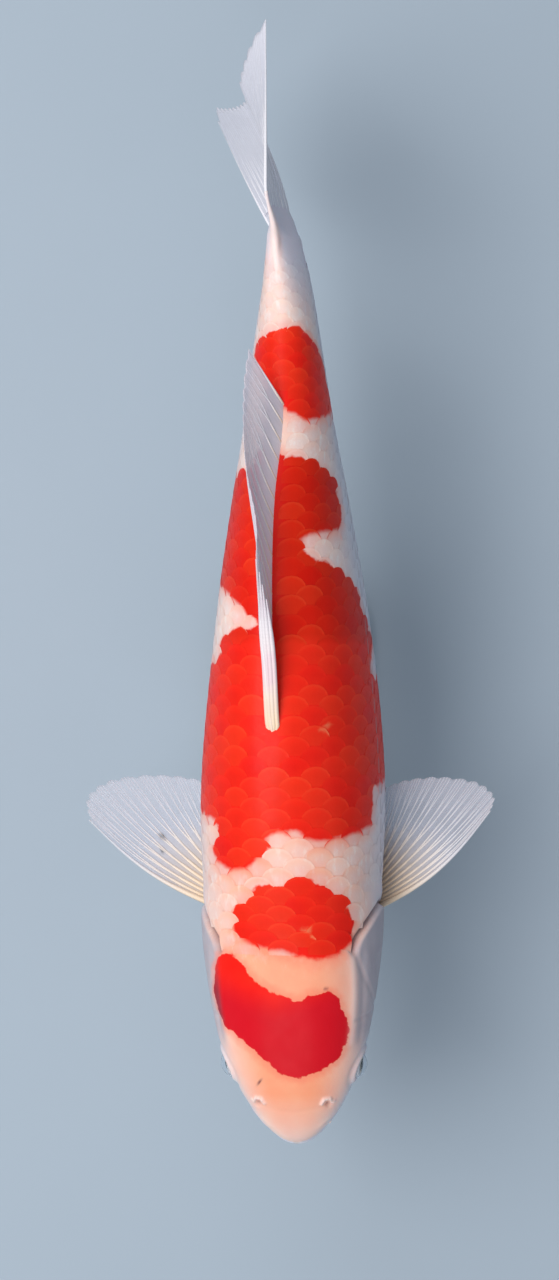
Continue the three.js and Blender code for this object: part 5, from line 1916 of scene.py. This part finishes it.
# %% Barbels
BARBELS = {                           # behind the snout, angle, length, radius, splay, drop
    "upper": (11, 104, 13, 1.3, 0.12, 0.80),
    "corner": (21, 109, 22, 1.5, 0.08, 0.75),
}
feeler_mat, tree, shader = new_material("koi_feeler")
mottled = noise(tree, object_place(tree), 500, 3)
grainy = noise(tree, object_place(tree), 900, 2)
fill(tree, shader.inputs, {
    "Base Color": mix_colour(tree, mottled, (0.86, 0.60, 0.52, 1), (0.92, 0.78, 0.72, 1)),
    "Roughness": ramp_between(tree, grainy, 0.3, 0.7, 0.3, 0.45),
    "Coat Weight": 0.4,
})
feeler_values = {"Thickness": 1.0, "Sides": 14, "Material": feeler_mat}
for place_name, (s, degrees, length, radius, splay, drop) in BARBELS.items():
    for side_name, side in (("left", 1), ("right", -1)):
        start = trunk_point(np.array(float(s)), np.array(side * math.radians(degrees)), -radius)
        t = np.linspace(0, 1, 22)
        sag = 0.8 * np.sin(math.pi * t)
        out = side * (radius + splay * length * t)
        back = length * t * (0.25 + 0.45 * t)
        path = start + np.stack([out, back, -drop * length * t - sag], -1)
        line = new_mesh_object("feeler_line", posed(path), [], [(k, k + 1) for k in range(len(t) - 1)])
        store(line, "thick", lerp(radius, 0.35, t**1.2) * (1 + 0.06 * np.sin(9 * t)) * MM)
        feeler = run_tree(line, strand_tree, feeler_values, f"feeler_{place_name}_{side_name}")
        bpy.data.objects.remove(line)
        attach(feeler, "root")
        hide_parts(f"barbel_{place_name}_{side_name}")
print("feelers:", 2 * len(BARBELS))

# %% [markdown]
# ## The stand
#
# The stand's solids are right as they are and only need their finish: an oiled walnut base and
# two brushed steel rods. Wood grain is noise drawn out along the board; brushed metal is noise
# drawn out round the rod.

# %% Walnut
wood_mat, tree, shader = new_material("oiled_walnut")
grain = noise(tree, stretched(tree, object_place(tree), (60, 4, 60)), 1.6, 8, 0.62)
figure = noise(tree, stretched(tree, object_place(tree), (22, 2.5, 22)), 1.0, 3)
figure = ramp_between(tree, figure, 0.35, 0.65)
brown = mix_colour(tree, figure, (0.060, 0.026, 0.012, 1), (0.135, 0.066, 0.030, 1))
fibre = mix_colour(tree, maths(tree, "MULTIPLY", grain, 0.55), brown, (0.022, 0.010, 0.005, 1))
bump = add_node(tree, "ShaderNodeBump", {"Strength": 0.25, "Distance": 0.0004, "Height": grain})
fill(tree, shader.inputs, {
    "Base Color": fibre,
    "Normal": bump.outputs[0],
    "Roughness": ramp_between(tree, grain, 0.3, 0.7, 0.42, 0.56),
    "Coat Weight": 0.15,
    "Coat Roughness": 0.3,
})
print("walnut has", len(tree.nodes), "nodes")

# %% Brushed steel
steel_mat, tree, shader = new_material("brushed_steel")
brushing = noise(tree, stretched(tree, object_place(tree), (20, 20, 2500)), 1.0, 3)
bump = add_node(tree, "ShaderNodeBump", {"Strength": 0.12, "Distance": 0.0002, "Height": brushing})
fill(tree, shader.inputs, {
    "Base Color": mix_colour(tree, brushing, (0.50, 0.51, 0.53, 1), (0.68, 0.69, 0.70, 1)),
    "Normal": bump.outputs[0],
    "Roughness": ramp_between(tree, brushing, 0.3, 0.7, 0.24, 0.38),
    "Metallic": 1.0,
})
print("steel has", len(tree.nodes), "nodes")

# %% Put the finishes on
finishes = {"stand_base": wood_mat, "stand_rod_front": steel_mat, "stand_rod_rear": steel_mat}
for name, material in finishes.items():
    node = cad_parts[name]
    node.data.materials.clear()
    node.data.materials.append(material)
print("stand finished:", list(finishes))

# %% [markdown]
# ## Sizes
#
# The solids and the dressed fish have to be the same size, so the corners of both boxes are
# written down and printed.

# %% Sizes
visual_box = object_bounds()
sizes = {"cad": [list(corner) for corner in cad_box], "visual": [list(corner) for corner in visual_box]}
print("cad box", [[round(c / MM, 1) for c in corner] for corner in cad_box])
print("visual box", [[round(c / MM, 1) for c in corner] for corner in visual_box])
